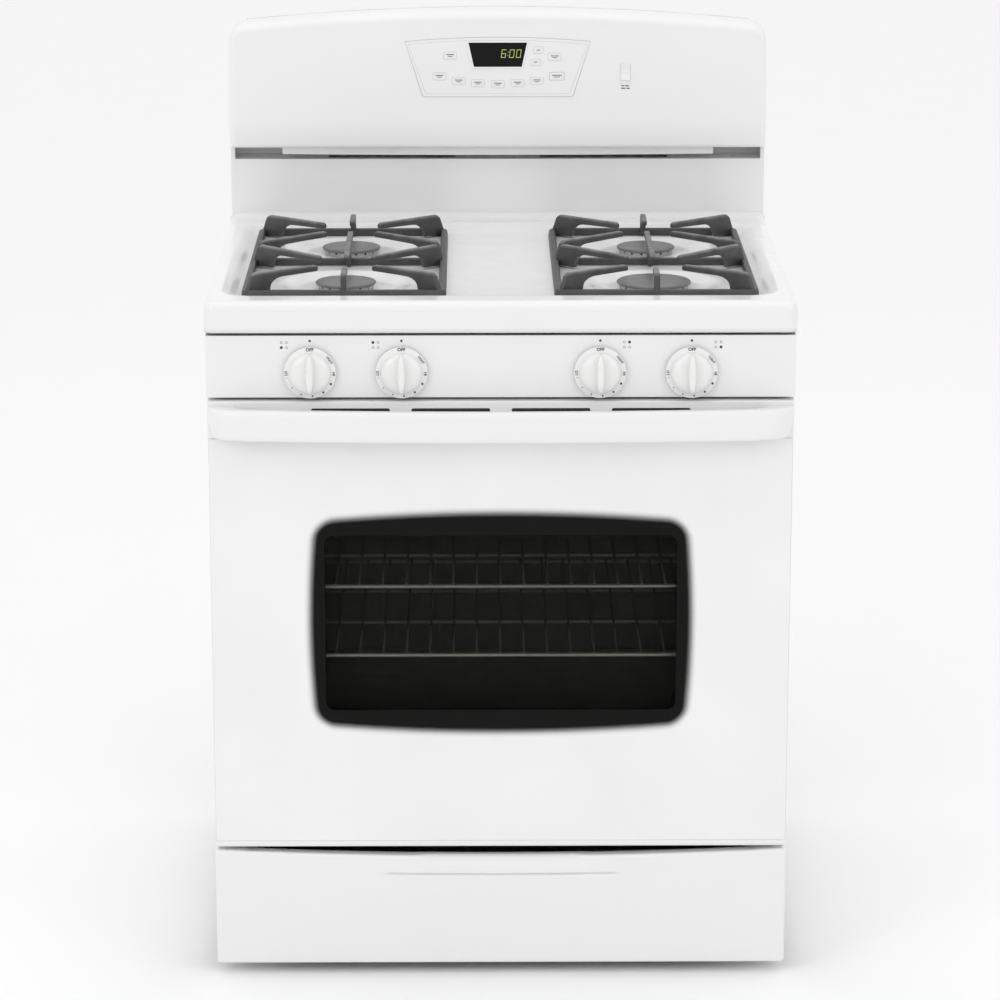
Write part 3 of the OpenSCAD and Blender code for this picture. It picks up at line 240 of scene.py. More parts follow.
def rack_chrome(front):
    """Chromed rack wire: bright at the front rod, darker over the next tenth of a metre behind it,
    a painted shade for the dim inside of the oven.
    """
    material, tree, shader, coord = new_finish("chromed_wire")
    streak = noise(tree, coord, 260, 3)
    # painted shade: the wire's colour darkens with depth behind the front rod, standing in for the
    # light falling off inside the oven
    depth = range_of(tree, axes_of(tree, coord)["Y"], 0, 1, front + 0.012, front + 0.15)
    bright = blend_of(tree, streak, (0.86, 0.84, 0.8), (1.0, 0.98, 0.94))
    base = colour_mix(tree, depth, bright, (0.34, 0.335, 0.32))
    feed(tree, shader, base, range_of(tree, streak, 0.16, 0.25))
    dent(tree, shader, streak, 0.3, 0.00003)
    shader.inputs["Metallic"].default_value = 0.6
    return material


def see_through(name, tint, rough, film=(0.02, 0.021, 0.02)):
    """Clear pane: mostly passes light, tinted, with a reflecting filmed skin and wipe marks."""
    material, tree, shader, coord = new_finish(name)
    shader.inputs["Base Color"].default_value = (*film, 1)
    tree.links.new(
        range_of(tree, noise(tree, coord, 14, 4), rough, rough * 2.2), shader.inputs["Roughness"]
    )
    clear = tree.nodes.new("ShaderNodeBsdfTransparent")
    smear = noise(tree, coord, 9, 3)
    tree.links.new(blend_of(tree, smear, tone(tint, 0.94), tint), clear.inputs["Color"])
    skin = tree.nodes.new("ShaderNodeFresnel")
    skin.inputs["IOR"].default_value = 1.45
    layered(tree, skin.outputs["Fac"], clear, shader)
    return material


def window_height(tree, coord, centre, half, bulge, corner):
    """Distance outside a rounded rectangle whose four sides bulge, in metres, from nodes.

    Each half size grows by the bulge times one minus the square of the place along the side.
    """

    def calc(operation, a, b=None):
        """One arithmetic node in this tree."""
        return maths(tree, operation, a, b)

    spot = axes_of(tree, coord)
    x = calc("SUBTRACT", spot["X"], centre[0])
    z = calc("SUBTRACT", spot["Z"], centre[1])
    along_x = calc("POWER", calc("ABSOLUTE", calc("DIVIDE", x, half[0])), 2.0)
    along_z = calc("POWER", calc("ABSOLUTE", calc("DIVIDE", z, half[1])), 2.0)
    half_x = calc("SUBTRACT", half[0], calc("MULTIPLY", along_z, bulge[0]))
    half_z = calc("SUBTRACT", half[1], calc("MULTIPLY", along_x, bulge[1]))
    dx = calc("ADD", calc("SUBTRACT", calc("ABSOLUTE", x), half_x), corner)
    dz = calc("ADD", calc("SUBTRACT", calc("ABSOLUTE", z), half_z), corner)
    px = calc("MAXIMUM", dx, 0.0)
    pz = calc("MAXIMUM", dz, 0.0)
    round_part = calc(
        "SQRT", calc("ADD", calc("MULTIPLY", px, px), calc("MULTIPLY", pz, pz))
    )
    flat_part = calc("MINIMUM", calc("MAXIMUM", dx, dz), 0.0)
    return calc("SUBTRACT", calc("ADD", round_part, flat_part), corner)


def printed_glass(centre, half, clear_half):
    """Front glass: white print on the back, a dark window whose border fades out in fine dots.

    The dots grow towards the window, so a dot shows where its cell's distance from the cell's
    middle is under the fade's value. Inside the clear rectangle the pane lets light through.
    """
    material, tree, shader, coord = new_finish("printed_door_glass")
    edge = window_height(tree, coord, centre, half, (0.009, 0.012), 0.026)
    fade = maths(tree, "DIVIDE", maths(tree, "ADD", edge, 0.0075), 0.015)
    spot = axes_of(tree, coord)
    wave_x, wave_z = (
        maths(tree, "SINE", maths(tree, "MULTIPLY", spot[axis], 2 * math.pi / 0.0016))
        for axis in "XZ"
    )
    dots = maths(tree, "MULTIPLY", maths(tree, "MULTIPLY", wave_x, wave_z), 0.42)
    level = maths(tree, "ADD", fade, dots)
    white = range_of(tree, level, 0, 1, 0.42, 0.58)
    cloud = noise(tree, coord, 6, 3)
    paint = blend_of(tree, cloud, (0.80, 0.80, 0.80), (0.835, 0.835, 0.835))
    base = colour_mix(tree, white, (0.004, 0.004, 0.0036), paint)
    feed(tree, shader, base, range_of(tree, noise(tree, coord, 11, 4), 0.08, 0.16))
    shader.inputs["Specular IOR Level"].default_value = 0.1
    dent(tree, shader, noise(tree, coord, 30, 2), 0.2, 0.00002)
    inner = window_height(tree, coord, centre, clear_half, (0.0, 0.0), 0.012)
    hole = range_of(tree, inner, 0.9, 0, -0.0006, 0.0006)
    clear = tree.nodes.new("ShaderNodeBsdfTransparent")
    clear.inputs["Color"].default_value = (0.82, 0.82, 0.81, 1)
    layered(tree, hole, shader, clear)
    return material


def glowing(name, colour, strength):
    """Lit display segments with a slight unevenness in their light."""
    material, tree, shader, coord = new_finish(name)
    shader.inputs["Base Color"].default_value = (*tone(colour, 0.3), 1)
    tree.links.new(
        blend_of(tree, noise(tree, coord, 600, 2), tone(colour, 0.8), colour),
        shader.inputs["Emission Color"],
    )
    shader.inputs["Emission Strength"].default_value = strength
    tree.links.new(range_of(tree, noise(tree, coord, 90), 0.2, 0.35), shader.inputs["Roughness"])
    return material


def braided(name, colour):
    """Woven glass-fibre braid: two crossing waves and fibre noise."""
    material, tree, shader, coord = new_finish(name)
    wave = tree.nodes.new("ShaderNodeTexWave")
    wave.inputs["Scale"].default_value = 160
    wave.inputs["Distortion"].default_value = 2
    wave.bands_direction = "DIAGONAL"
    tree.links.new(coord, wave.inputs["Vector"])
    base = blend_of(tree, wave.outputs["Fac"], tone(colour, 0.55), colour)
    feed(tree, shader, base, range_of(tree, noise(tree, coord, 400), 0.7, 0.95))
    dent(tree, shader, wave.outputs["Fac"], 0.8, 0.0006)
    return material


def spangled(name, colour):
    """Galvanised sheet: zinc flowers as cells of slightly different grey and gloss."""
    material, tree, shader, coord = new_finish(name)
    cells = tree.nodes.new("ShaderNodeTexVoronoi")
    cells.inputs["Scale"].default_value = 75
    tree.links.new(coord, cells.inputs["Vector"])
    flower = cells.outputs["Color"]
    base = blend_of(tree, flower, tone(colour, 0.78), tone(colour, 1.12), 0.1, 0.9)
    feed(tree, shader, base, range_of(tree, flower, 0.32, 0.55))
    dent(tree, shader, noise(tree, coord, 300), 0.2, 0.00005)
    shader.inputs["Metallic"].default_value = 0.9
    return material


WHITE = (0.80, 0.80, 0.80)
enamel = coated("white_baked_enamel", WHITE, 0.2, 420, 0.012, coat=0.35, depth=0.000008)
plastic = coated(
    "white_moulded_plastic", (0.80, 0.80, 0.797), 0.34, 380, 0.012, coat=0.1, depth=0.000006
)
knob_plastic = coated(
    "white_knob_plastic", (0.79, 0.79, 0.785), 0.22, 380, 0.012, coat=0.2, depth=0.000005
)
iron = cast_iron()
finishes = {
    "white_enamel": enamel,
    "white_glass": None,
    "cast_iron_grate": iron,
    "black_cap": coated(
        "cap_enamel", (0.135, 0.136, 0.14), 0.34, 700, 0.12, speck=0.25, depth=0.0001
    ),
    "burner_metal": coated("cast_aluminium", (0.42, 0.42, 0.42), 0.42, 900, 0.08, metal=0.85),
    "oven_enamel": coated("oven_enamel", (0.02, 0.02, 0.021), 0.34, 500, 0.15, speck=0.0),
    "chrome_wire": rack_chrome(reach("oven_rack_upper")[0][1] / 1000),
    "galvanised": spangled("galvanised_sheet", (0.56, 0.57, 0.58)),
    "plated_steel": brushed("zinc_plated_steel", (0.55, 0.55, 0.54), 0.38, "Y"),
    "brass_valve": brushed("turned_brass", (0.62, 0.46, 0.2), 0.38, "Y"),
    "white_plastic": plastic,
    "keypad_film": coated("keypad_film", (0.795, 0.795, 0.795), 0.33, 2400, 0.01, depth=0.000002),
    "key_plastic": coated("key_film", (0.78, 0.78, 0.782), 0.36, 2000, 0.01, depth=0.000002),
    "display_glass": coated("display_black", (0.006, 0.006, 0.007), 0.12, 800, 0.1, depth=0.000002),
    "clear_glass": see_through("oven_clear_glass", (0.98, 0.98, 0.97), 0.05, (0.5, 0.5, 0.48)),
    "lamp_glass": see_through("lamp_glass", (0.93, 0.92, 0.88), 0.08),
    "gasket_braid": braided("door_gasket_braid", (0.2, 0.2, 0.19)),
    "insulation_wool": coated(
        "mineral_wool", (0.62, 0.56, 0.38), 0.9, 260, 0.2, speck=0.3, depth=0.002
    ),
    "board_green": coated("circuit_board", (0.02, 0.16, 0.07), 0.4, 500, 0.1, speck=0.4),
    "ceramic_white": coated("spark_ceramic", (0.78, 0.76, 0.72), 0.22, 600, 0.03),
    "dark_plastic": coated("black_nylon", (0.03, 0.03, 0.031), 0.5, 1200, 0.1),
}
legend_ink = coated("grey_print", (0.035, 0.035, 0.037), 0.5, 2500, 0.15, depth=0.000002)
soft_ink = coated("light_print", (0.35, 0.35, 0.36), 0.5, 2500, 0.08, depth=0.000002)
outline_ink = coated("outline_print", (0.50, 0.50, 0.505), 0.5, 2500, 0.04, depth=0.000002)
lit_digits = glowing("lit_digits", (0.42, 0.50, 0.12), 1.0)
display_shader = finishes["display_glass"].node_tree.nodes["Principled BSDF"]
display_shader.inputs["Specular IOR Level"].default_value = 0.12
port_metal = coated("burnt_port_metal", (0.16, 0.158, 0.155), 0.5, 700, 0.15, metal=0.5, speck=0.3)
# painted shadow: a near-black finish for thin patches that stand in for the shade inside the handle
# trim's air slots
slot_shadow_paint = coated("painted_slot_shadow", (0.012, 0.012, 0.012), 0.6, 400, 0.1)

# ---------------------------------------------------------------- mesh making


def grid(points, wrap_u=False, wrap_v=False, cap_ends=False):
    """Vertices and faces of a grid of points[u, v]: one four-sided face between neighbours.

    wrap_u and wrap_v join the last row or column to the first; cap_ends closes a wrapped
    profile's first and last ring with one face each.
    """
    nu, nv = points.shape[:2]
    u = np.arange(nu if wrap_u else nu - 1)
    v = np.arange(nv if wrap_v else nv - 1)
    uu, vv = np.meshgrid(u, v, indexing="ij")
    u1, v1 = (uu + 1) % nu, (vv + 1) % nv
    quads = np.stack([uu * nv + vv, u1 * nv + vv, u1 * nv + v1, uu * nv + v1], -1)
    faces = quads.reshape(-1, 4).tolist()
    if cap_ends:
        faces.append(list(range(nv))[::-1])
        faces.append(list(range((nu - 1) * nv, nu * nv)))
    return points.reshape(-1, 3), faces


def level(outline, z):
    """A plan outline as points at one height."""
    return np.c_[outline, np.full(len(outline), float(z))]


def prism(outline, low, high):
    """Closed block: a plan outline[n, 2] carried from z = low to z = high."""
    return grid(np.stack([level(outline, low), level(outline, high)]), wrap_v=True, cap_ends=True)


def placed(shape, turn, origin):
    """A shape moved by a 3 by 3 turn and an origin."""
    points, faces = shape
    return points @ np.array(turn, float).T + np.array(origin, float), faces


# turn that stands a flat shape up, its heights towards -Y
UPRIGHT = [[1, 0, 0], [0, 0, -1], [0, 1, 0]]


def join(shapes):
    """Several shapes as one, each still its own shell."""
    points, faces, start = [], [], 0
    for p, f in shapes:
        points.append(p)
        faces += [[i + start for i in face] for face in f]
        start += len(p)
    return np.concatenate(points), faces


def shaded(name, mesh, material, sharp):
    """An object of a mesh, smooth but for edges above an angle, with one finish."""
    mesh.polygons.foreach_set("use_smooth", np.ones(len(mesh.polygons), bool))
    mesh.set_sharp_from_angle(angle=math.radians(sharp))
    mesh.materials.clear()
    mesh.materials.append(material)
    made = bpy.data.objects.new(name, mesh)
    scene.collection.objects.link(made)
    return made


def piece(name, shape, material, body, nodes=(), facing=None, sharp=32):
    """A finished object in metres, riding on its body and standing for CAD nodes.

    A closed shape gets its normals from its inside; an open one is turned to the facing
    direction. Edges sharper than the given angle stay crisp.
    """
    points, faces = shape
    mesh = bpy.data.meshes.new(name)
    mesh.from_pydata((points / 1000).tolist(), [], faces)
    work = bmesh.new()
    work.from_mesh(mesh)
    bmesh.ops.remove_doubles(work, verts=work.verts, dist=2e-6)
    bmesh.ops.dissolve_degenerate(work, dist=1e-7, edges=work.edges)
    if facing is None:
        bmesh.ops.recalc_face_normals(work, faces=work.faces)
    work.to_mesh(mesh)
    work.free()
    if facing is not None:
        normals = np.zeros(len(mesh.polygons) * 3, np.float32)
        areas = np.zeros(len(mesh.polygons), np.float32)
        mesh.polygons.foreach_get("normal", normals)
        mesh.polygons.foreach_get("area", areas)
        mean = (normals.reshape(-1, 3) * areas[:, None]).sum(0)
        if mean @ np.array(facing, float) < 0:
            mesh.flip_normals()
    made = shaded(name, mesh, material, sharp)
    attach(made, body)
    if nodes:
        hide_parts(*nodes)
    return made


def soften(made, width, segments=3, angle=35):
    """Rounds the crisp edges by a radius in millimetres."""
    bevel = made.modifiers.new("soft_edges", "BEVEL")
    bevel.width = width / 1000
    bevel.segments = segments
    bevel.limit_method = "ANGLE"
    bevel.angle_limit = math.radians(angle)
    bevel.use_clamp_overlap = True
    bevel.harden_normals = True
    return made


def thicken(made, thickness):
    """Gives a sheet its thickness in millimetres, inwards."""
    wall = made.modifiers.new("sheet_thickness", "SOLIDIFY")
    wall.thickness = thickness / 1000
    wall.offset = -1
    wall.use_rim = True
    return made


def softened_copy(node, width=1.2, segments=2):
    """A CAD node's own shape with its doubles merged and its edges rounded."""
    source = frame["nodes"][node]
    mesh = source.data.copy()
    work = bmesh.new()
    work.from_mesh(mesh)
    bmesh.ops.remove_doubles(work, verts=work.verts, dist=5e-6)
    bmesh.ops.dissolve_limit(
        work, angle_limit=math.radians(0.8), verts=work.verts, edges=work.edges
    )
    work.to_mesh(mesh)
    work.free()
    made = shaded("soft_" + node, mesh, finishes[slot_of[node]], 32)
    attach(made, body_of[node])
    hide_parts(node)
    if width:
        soften(made, width, segments)
    return made


def smooth_step(value, start, end):
    """Runs softly from 0 at start to 1 at end."""
    t = np.clip((value - start) / (end - start), 0, 1)
    return t * t * (3 - 2 * t)


def rounded_box_distance(x, y, half_x, half_y, corner):
    """Distance outside a rounded rectangle (negative inside)."""
    dx = np.abs(x) - half_x + corner
    dy = np.abs(y) - half_y + corner
    outside = np.hypot(np.maximum(dx, 0), np.maximum(dy, 0))
    return outside + np.minimum(np.maximum(dx, dy), 0) - corner


def rolled_edge(s, corner, roll):
    """Plan distance from the flat core and drop below the top, by arc length s.

    The sheet runs flat to corner minus roll, turns a quarter round of radius roll, then drops.
    """
    flat = corner - roll
    arc = roll * math.pi / 2
    turn = np.clip((s - flat) / roll, 0, math.pi / 2)
    out = np.minimum(s, flat) + roll * np.sin(turn)
    drop = roll * (1 - np.cos(turn)) + np.maximum(s - flat - arc, 0)
    return out, drop


def edge_steps(corner, roll, depth):
    """Arc lengths that resolve the rolled edge finely and the flat drop coarsely."""
    flat = corner - roll
    arc = roll * math.pi / 2
    last = flat + arc + depth - roll
    return np.unique(
        np.r_[
            np.linspace(0, flat, 3),
            np.linspace(flat, flat + arc, 9),
            np.linspace(flat + arc, last, 5),
        ]
    )


def spread(core_low, core_high, steps, pitch, low_edge=True, high_edge=True, extra=()):
    """Parameters across a rolled sheet: edge, core at a pitch, edge."""
    count = max(2, int(round((core_high - core_low) / pitch)) + 1)
    parts = [np.linspace(core_low, core_high, count), np.array(extra, float)]
    if low_edge:
        parts.append(core_low - steps)
    if high_edge:
        parts.append(core_high + steps)
    return np.unique(np.round(np.concatenate(parts), 5))


def rolled_sheet(a, b, a_core, b_core, corner, roll):
    """Plan position and drop for a sheet whose border turns down on every side it passes its core.

    The distance beyond the core is the larger of the two overshoots; it is laid off in the
    direction of the overshoot, so a corner comes out round.
    """
    aa, bb = np.meshgrid(a, b, indexing="ij")
    qa = np.clip(aa, *a_core)
    qb = np.clip(bb, *b_core)
    da, db = aa - qa, bb - qb
    s = np.maximum(np.abs(da), np.abs(db))
    length = np.maximum(np.hypot(da, db), 1e-9)
    out, drop = rolled_edge(s, corner, roll)
    return qa + da / length * out, qb + db / length * out, drop


# ---------------------------------------------------------------- cooktop

top_low, top_high = reach("cooktop")
surface_z = top_low[2] + 40
burners = [(sx * 203, y) for sx in (-1, 1) for y in (-128, 116)]


def cooktop_surface():
    """Enamelled pan: a rolled border, a basin with soft sides, four round bowls and a rear cove.

    Height is the cooking surface, less the basin's depth inside its rounded rectangle, less
    each bowl's depth inside its circle, plus a quarter-round cove at the back.
    """
    corner, roll = 13, 11
    steps = edge_steps(corner, roll, 40)
    a_core = (top_low[0] + corner, top_high[0] - corner)
    b_core = (top_low[1] + corner, top_high[1])
    fine = np.linspace(top_high[1] - 14, top_high[1], 9)
    a = spread(*a_core, steps, 3.9)
    b = spread(*b_core, steps, 3.9, high_edge=False, extra=fine)
    x, y, drop = rolled_sheet(a, b, a_core, b_core, corner, roll)
    basin = rounded_box_distance(x, y + 6, 351.5, 250, 30)
    z = surface_z - drop - 11 * smooth_step(-basin, -8, 14)
    for bx, by in burners:
        z -= 7 * (1 - smooth_step(np.hypot(x - bx, y - by), 64, 89))
    cove = np.clip((y - (top_high[1] - 12)) / 12, 0, 1)
    z += 12 * (1 - np.sqrt(1 - cove**2))
    return grid(np.stack([x, y, z], -1))


cooktop = piece(
    "cooktop_pan", cooktop_surface(), enamel, "range", ["cooktop"], facing=(0, 0, 1)
)
thicken(cooktop, 1.4)

# ---------------------------------------------------------------- grates


def finger_profile(length):
    """Side view of a finger, u along it and v up from the frame's underside.

    A sloping heel, a level top that falls a little towards the blunt tip, and a hollow quarter
    round under the bar where it leaves the foot.
    """
    t = np.linspace(0, 1, 9)
    hollow_u = 38 + 20 * (1 - np.cos(t * math.pi / 2))
    hollow_v = 10 + 11.5 * np.sin(t * math.pi / 2)
    outline = [(2, 2), (2, 9), (9, 27), (14, 31), (length - 3, 30), (length, 27.5), (length, 23)]
    outline += [(length - 2, 22)]
    outline += list(zip(hollow_u[::-1], hollow_v[::-1])) + [(36, 2)]
    return np.array(outline)


def plate(profile, width):
    """A side profile given a width: u stays x, v becomes z."""
    points, faces = prism(profile, -width / 2, width / 2)
    return points[:, [0, 2, 1]], faces


def turned(angle):
    """Turn about the upright axis."""
    c, s = math.cos(angle), math.sin(angle)
    return [[c, -s, 0], [s, c, 0], [0, 0, 1]]


def rounded_outline(half_x, half_y, radius, count=7):
    """Plan outline of a rounded rectangle, counter-clockwise."""
    angles = np.linspace(0, math.pi / 2, count)
    corners = [
        (half_x, half_y, 0), (-half_x, half_y, 1), (-half_x, -half_y, 2), (half_x, -half_y, 3)
    ]
    parts = []
    for cx, cy, quarter in corners:
        at = angles + quarter * math.pi / 2
        x = cx - math.copysign(radius, cx) + radius * np.cos(at)
        y = cy - math.copysign(radius, cy) + radius * np.sin(at)
        parts.append(np.c_[x, y])
    return np.concatenate(parts)


def grate_shape(node):
    """Cast grate: a rounded frame, a cross bar, eight fingers, two end fingers and the spine."""
    low, high = reach(node)
    centre = (low + high) / 2
    half_x, half_y = (high[0] - low[0]) / 2, (high[1] - low[1]) / 2
    z0 = low[2]
    outer = rounded_outline(half_x, half_y, 15)
    inner = rounded_outline(half_x - 10, half_y - 10, 6)
    loop = np.stack(
        [
            level(outer, 0),
            level(outer * [1 - 1.5 / half_x, 1 - 1.5 / half_y], 10),
            level(inner, 10),
            level(inner, 0),
        ]
    )
    shapes = [placed(grid(loop, wrap_u=True, wrap_v=True), np.eye(3), (centre[0], centre[1], z0))]
    bar_x = half_x - 4
    bar = plate(np.array([(-bar_x, 0.4), (-bar_x, 9.6), (bar_x, 9.6), (bar_x, 0.4)]), 9)
    shapes.append(placed(bar, np.eye(3), (centre[0], centre[1], z0)))
    for by in (-128, 116):
        front = by < centre[1]
        near = low[1] + 6 if front else centre[1] + 4
        far = centre[1] - 4 if front else high[1] - 6
        for sx in (-1, 1):
            for ry in (near, far):
                root = np.array([centre[0] + sx * (half_x - 6), ry])
                away = np.array([centre[0], by]) - root
                finger = plate(finger_profile(np.hypot(*away) - 46), 7.5)
                angle = math.atan2(away[1], away[0])
                shapes.append(placed(finger, turned(angle), (*root, z0)))
    for end, angle in ((low[1] + 1, math.pi / 2), (high[1] - 1, -math.pi / 2)):
        profile = np.array(
            [(1, 2), (1, 9), (5, 29), (8, 31), (52, 30.4), (54.5, 28), (54.5, 22)]
            + [(20, 21), (16, 16), (15, 2)]
        )
        shapes.append(placed(plate(profile, 7.5), turned(angle), (centre[0], end, z0)))
    spine = np.array(
        [(-91, 28), (-88, 30.6), (88, 30.6), (91, 28)]
        + [(91, 22), (32, 21.5), (20, 17), (15, 8), (13, 1)]
        + [(-13, 1), (-15, 8), (-20, 17), (-32, 21.5), (-91, 22)]
    )
    shapes.append(placed(plate(spine, 7.5), turned(math.pi / 2), (centre[0], centre[1], z0)))
    return join(shapes)


for side in ("left", "right"):
    grate = piece(
        f"cast_grate_{side}", grate_shape(f"grate_{side}"), iron, f"{side}_grate",
        [f"grate_{side}"], sharp=28,
    )
    soften(grate, 1.7, 3, 30)

# ---------------------------------------------------------------- burners


def lathe(profile, centre, steps=64):
    """A radius and height profile turned about an upright axis."""
    angle = np.linspace(0, 2 * math.pi, steps, endpoint=False)
    radius, height = profile[:, 0][None], profile[:, 1][None]
    x = centre[0] + np.cos(angle)[:, None] * radius
    y = centre[1] + np.sin(angle)[:, None] * radius
    return grid(np.stack([x, y, np.broadcast_to(height, x.shape)], -1), wrap_u=True)


def toothed_ring(centre, radius, low, high, teeth):
    """Burner head: a ring whose outside steps in and out once for each gas port."""
    steps = teeth * 6
    angle = np.linspace(0, 2 * math.pi, steps, endpoint=False)
    tooth = np.clip(np.cos(angle * teeth) * 2.6, -1, 1)
    rows = [
        (radius - 11 + 0 * tooth, low),
        (radius - 2.4 + 0 * tooth, low),
        (radius - 1.6 + 0 * tooth, low + 1.0),
        (radius - 4.5 + 1.5 * tooth, low + 2.0),
        (radius - 3.2 + 1.9 * tooth, high - 1.0),
        (radius - 3.2 + 1.9 * tooth, high),
        (radius - 11 + 0 * tooth, high),
    ]
    c, s = np.cos(angle), np.sin(angle)
    points = [
        np.stack([centre[0] + c * r, centre[1] + s * r, 0 * angle + z], -1) for r, z in rows
    ]
    return grid(np.stack(points, 1), wrap_u=True, wrap_v=True)


def cap_profile(radius, z0, thick):
    """Half section of a cap: flat underside, rolled rim, slightly domed top."""
    rim = np.linspace(-math.pi / 2, math.pi / 2, 9)
    roll = thick * 0.42
    rolled = np.c_[radius - roll + np.cos(rim) * roll, z0 + roll * (1 + np.sin(rim))]
    dome = np.linspace(radius - thick * 0.9, 0, 14)
    lift = thick * 0.84 + thick * 0.16 * (1 - (dome / radius) ** 2)
    return np.concatenate([[(0, z0)], [(radius * 0.9, z0)], rolled, np.c_[dome, z0 + lift]])


cap_low = reach("burner_caps")[0]
caps, heads = [], []
for bx, by in burners:
    big = bx > 0 and by < 0
    radius = 49 if big else 40
    caps.append(lathe(cap_profile(radius, cap_low[2], 4.5), (bx, by), 72))
    heads.append(toothed_ring((bx, by), radius - 3, 896.2, cap_low[2], 26 if big else 22))
piece("burner_cap_set", join(caps), finishes["black_cap"], "range", ["burner_caps"])
piece("burner_port_rings", join(heads), port_metal, "range")

# ---------------------------------------------------------------- backguard console

con_low, con_high = reach("console_shell")
band_z = con_low[2] + 33
lean = math.radians(9.9)
half_w = con_high[0]
face_y = con_low[1]
lean_cos, lean_sin = math.cos(lean), math.sin(lean)


def console_surface():
    """Console: an upright band, a face that leans back and a rounded crest, carried across.

    For each x the crest is at its height less a shallow arch, less a round shoulder at the
    ends; the side profile is drawn in towards the middle near the ends, so they come out soft.
    """
    roll = 9.0
    inner = np.linspace(-half_w + 22, half_w - 22, 57)
    left = -half_w + 22 - 22 * np.sin(np.linspace(0, math.pi / 2, 13))[::-1]
    x = np.unique(np.round(np.r_[left, inner, -left], 5))
    shoulder = np.clip((np.abs(x) - (half_w - 22)) / 22, 0, 1)
    crest = con_high[2] - 20 * (x / half_w) ** 2 - 20 * (1 - np.sqrt(1 - shoulder**2))
    near_end = np.clip((np.abs(x) - (half_w - roll)) / roll, 0, 1)
    tuck = roll * (1 - np.sqrt(1 - near_end**2))
    back = con_high[1] - 0.5
    rows = []
    z0 = con_low[2] + 5.5
    one = np.ones_like(x)
    # from the lower back edge, round the lower front edge, up the face, over the crest
    rows.append((back * one, z0 * one))
    turn = np.linspace(0, math.pi / 2, 6)
    for a in turn:
        rows.append((face_y + tuck + 5 - 5 * math.sin(a), z0 + 5 - 5 * math.cos(a) + 0 * x))
    bend = np.linspace(-1, 1, 7)
    for k in bend:
        z = band_z + 9 * k
        y = face_y + tuck + (9 * lean_sin / 4) * (1 + k) ** 2 / lean_cos
        rows.append((y, z * one))
    face_top = crest - 14
    for f in np.linspace(0.06, 1, 14):
        z = band_z + 9 + (face_top - band_z - 9) * f
        rows.append((face_y + tuck + (z - band_z) * lean_sin / lean_cos, z))
    y_top = face_y + tuck + (face_top - band_z) * lean_sin / lean_cos
    for a in np.linspace(0.12, 1, 8) * math.pi / 2:
        rows.append((y_top + 16 * (1 - np.cos(a)), face_top + 14 * math.sin(a)))
    rows.append((back - 4 + 0 * x, crest))
    rows.append((back * one, crest - 4))
    y = np.stack([r[0] for r in rows], 1)
    z = np.stack([r[1] for r in rows], 1)
    y = np.minimum(y, back)
    xx = np.broadcast_to(x[:, None], y.shape)
    return grid(np.stack([xx, y, z], -1), wrap_v=True, cap_ends=True)


piece(
    "console_housing", console_surface(), plastic, "range", ["console_shell"],
    sharp=40,
)

# parts of the face are placed by x across and v up the leaning face from the band
axis_h = 86


def on_face(shape):
    """Moves a flat shape (x, v, height off the face) onto the leaning face."""
    points, faces = shape
    x, v, h = points[:, 0], points[:, 1], points[:, 2]
    y = face_y + v * lean_sin - h * lean_cos
    z = band_z + v * lean_cos + h * lean_sin
    return np.stack([x, y, z], -1), faces


def ring(outer, inner, low, high):
    """A closed flat band between two outlines of equally many points."""
    rows = [level(outer, low), level(outer, high), level(inner, high), level(inner, low)]
    return grid(np.stack(rows), wrap_u=True, wrap_v=True)


def keypad_outline(inset):
    """Trapezoid with an arched top, rounded by cutting its corners."""
    top, bottom, height = 130.5 - inset, 107 - inset, 84 - 2 * inset
    base = 86 - 42 + inset
    arch = np.linspace(1, -1, 25)
    upper = np.c_[arch * top, base + height - 6 * arch**2]
    cut = 5.0
    lower = [(-bottom - 0.6, base + cut), (-bottom + 1.0, base + 1.2), (-bottom + cut, base)]
    lower += [(bottom - cut, base), (bottom - 1.0, base + 1.2), (bottom + 0.6, base + cut)]
    return np.concatenate([upper, np.array(lower)])


piece(
    "keypad_film_sheet", on_face(prism(keypad_outline(0.8), 0.05, 0.32)), finishes["keypad_film"],
    "range", ["keypad_overlay"],
)
for name, outer, inner, low, high in (
    ("keypad_film_outline", 0.0, 0.9, 0.05, 0.36), ("keypad_inner_outline", 4.4, 4.8, 0.28, 0.38)
):
    line = ring(keypad_outline(outer), keypad_outline(inner), low, high)
    piece(name, on_face(line), outline_ink, "range")


def display_outline(grow):
    """Display window: a trapezoid wider at its top."""
    v = axis_h + 17
    return np.array(
        [(-33.5 - grow, v - 16.75 - grow), (33.5 + grow, v - 16.75 - grow),
         (41 + grow, v + 16.75 + grow), (-41 - grow, v + 16.75 + grow)], float
    )


piece(
    "display_rim", on_face(ring(display_outline(2.6), display_outline(0.2), 0.1, 1.3)),
    plastic, "range",
)
piece(
    "display_pane", on_face(prism(display_outline(0.1), -1.5, 0.7)), finishes["display_glass"],
    "range", ["display_lens"],
)


DIGIT_SLANT = 0.14
SEGMENT_GAP = 0.22


def digit_segments(lit, x0, v0, width, height, bar):
    """Lit bars of one seven-segment digit, slanted."""
    h2 = height / 2
    frames = {
        "a": (0, height - bar, width, height), "d": (0, 0, width, bar),
        "g": (0, h2 - bar / 2, width, h2 + bar / 2), "f": (0, h2, bar, height),
        "b": (width - bar, h2, width, height), "e": (0, 0, bar, h2),
        "c": (width - bar, 0, width, h2),
    }
    shapes = []
    for name in lit:
        xa, va, xb, vb = frames[name]
        xa, va, xb, vb = xa + SEGMENT_GAP, va + SEGMENT_GAP, xb - SEGMENT_GAP, vb - SEGMENT_GAP
        box = np.array([(xa, va), (xb, va), (xb, vb), (xa, vb)])
        box[:, 0] += DIGIT_SLANT * box[:, 1]
        shapes.append(prism(box + [x0, v0], 0.72, 0.86))
    return shapes


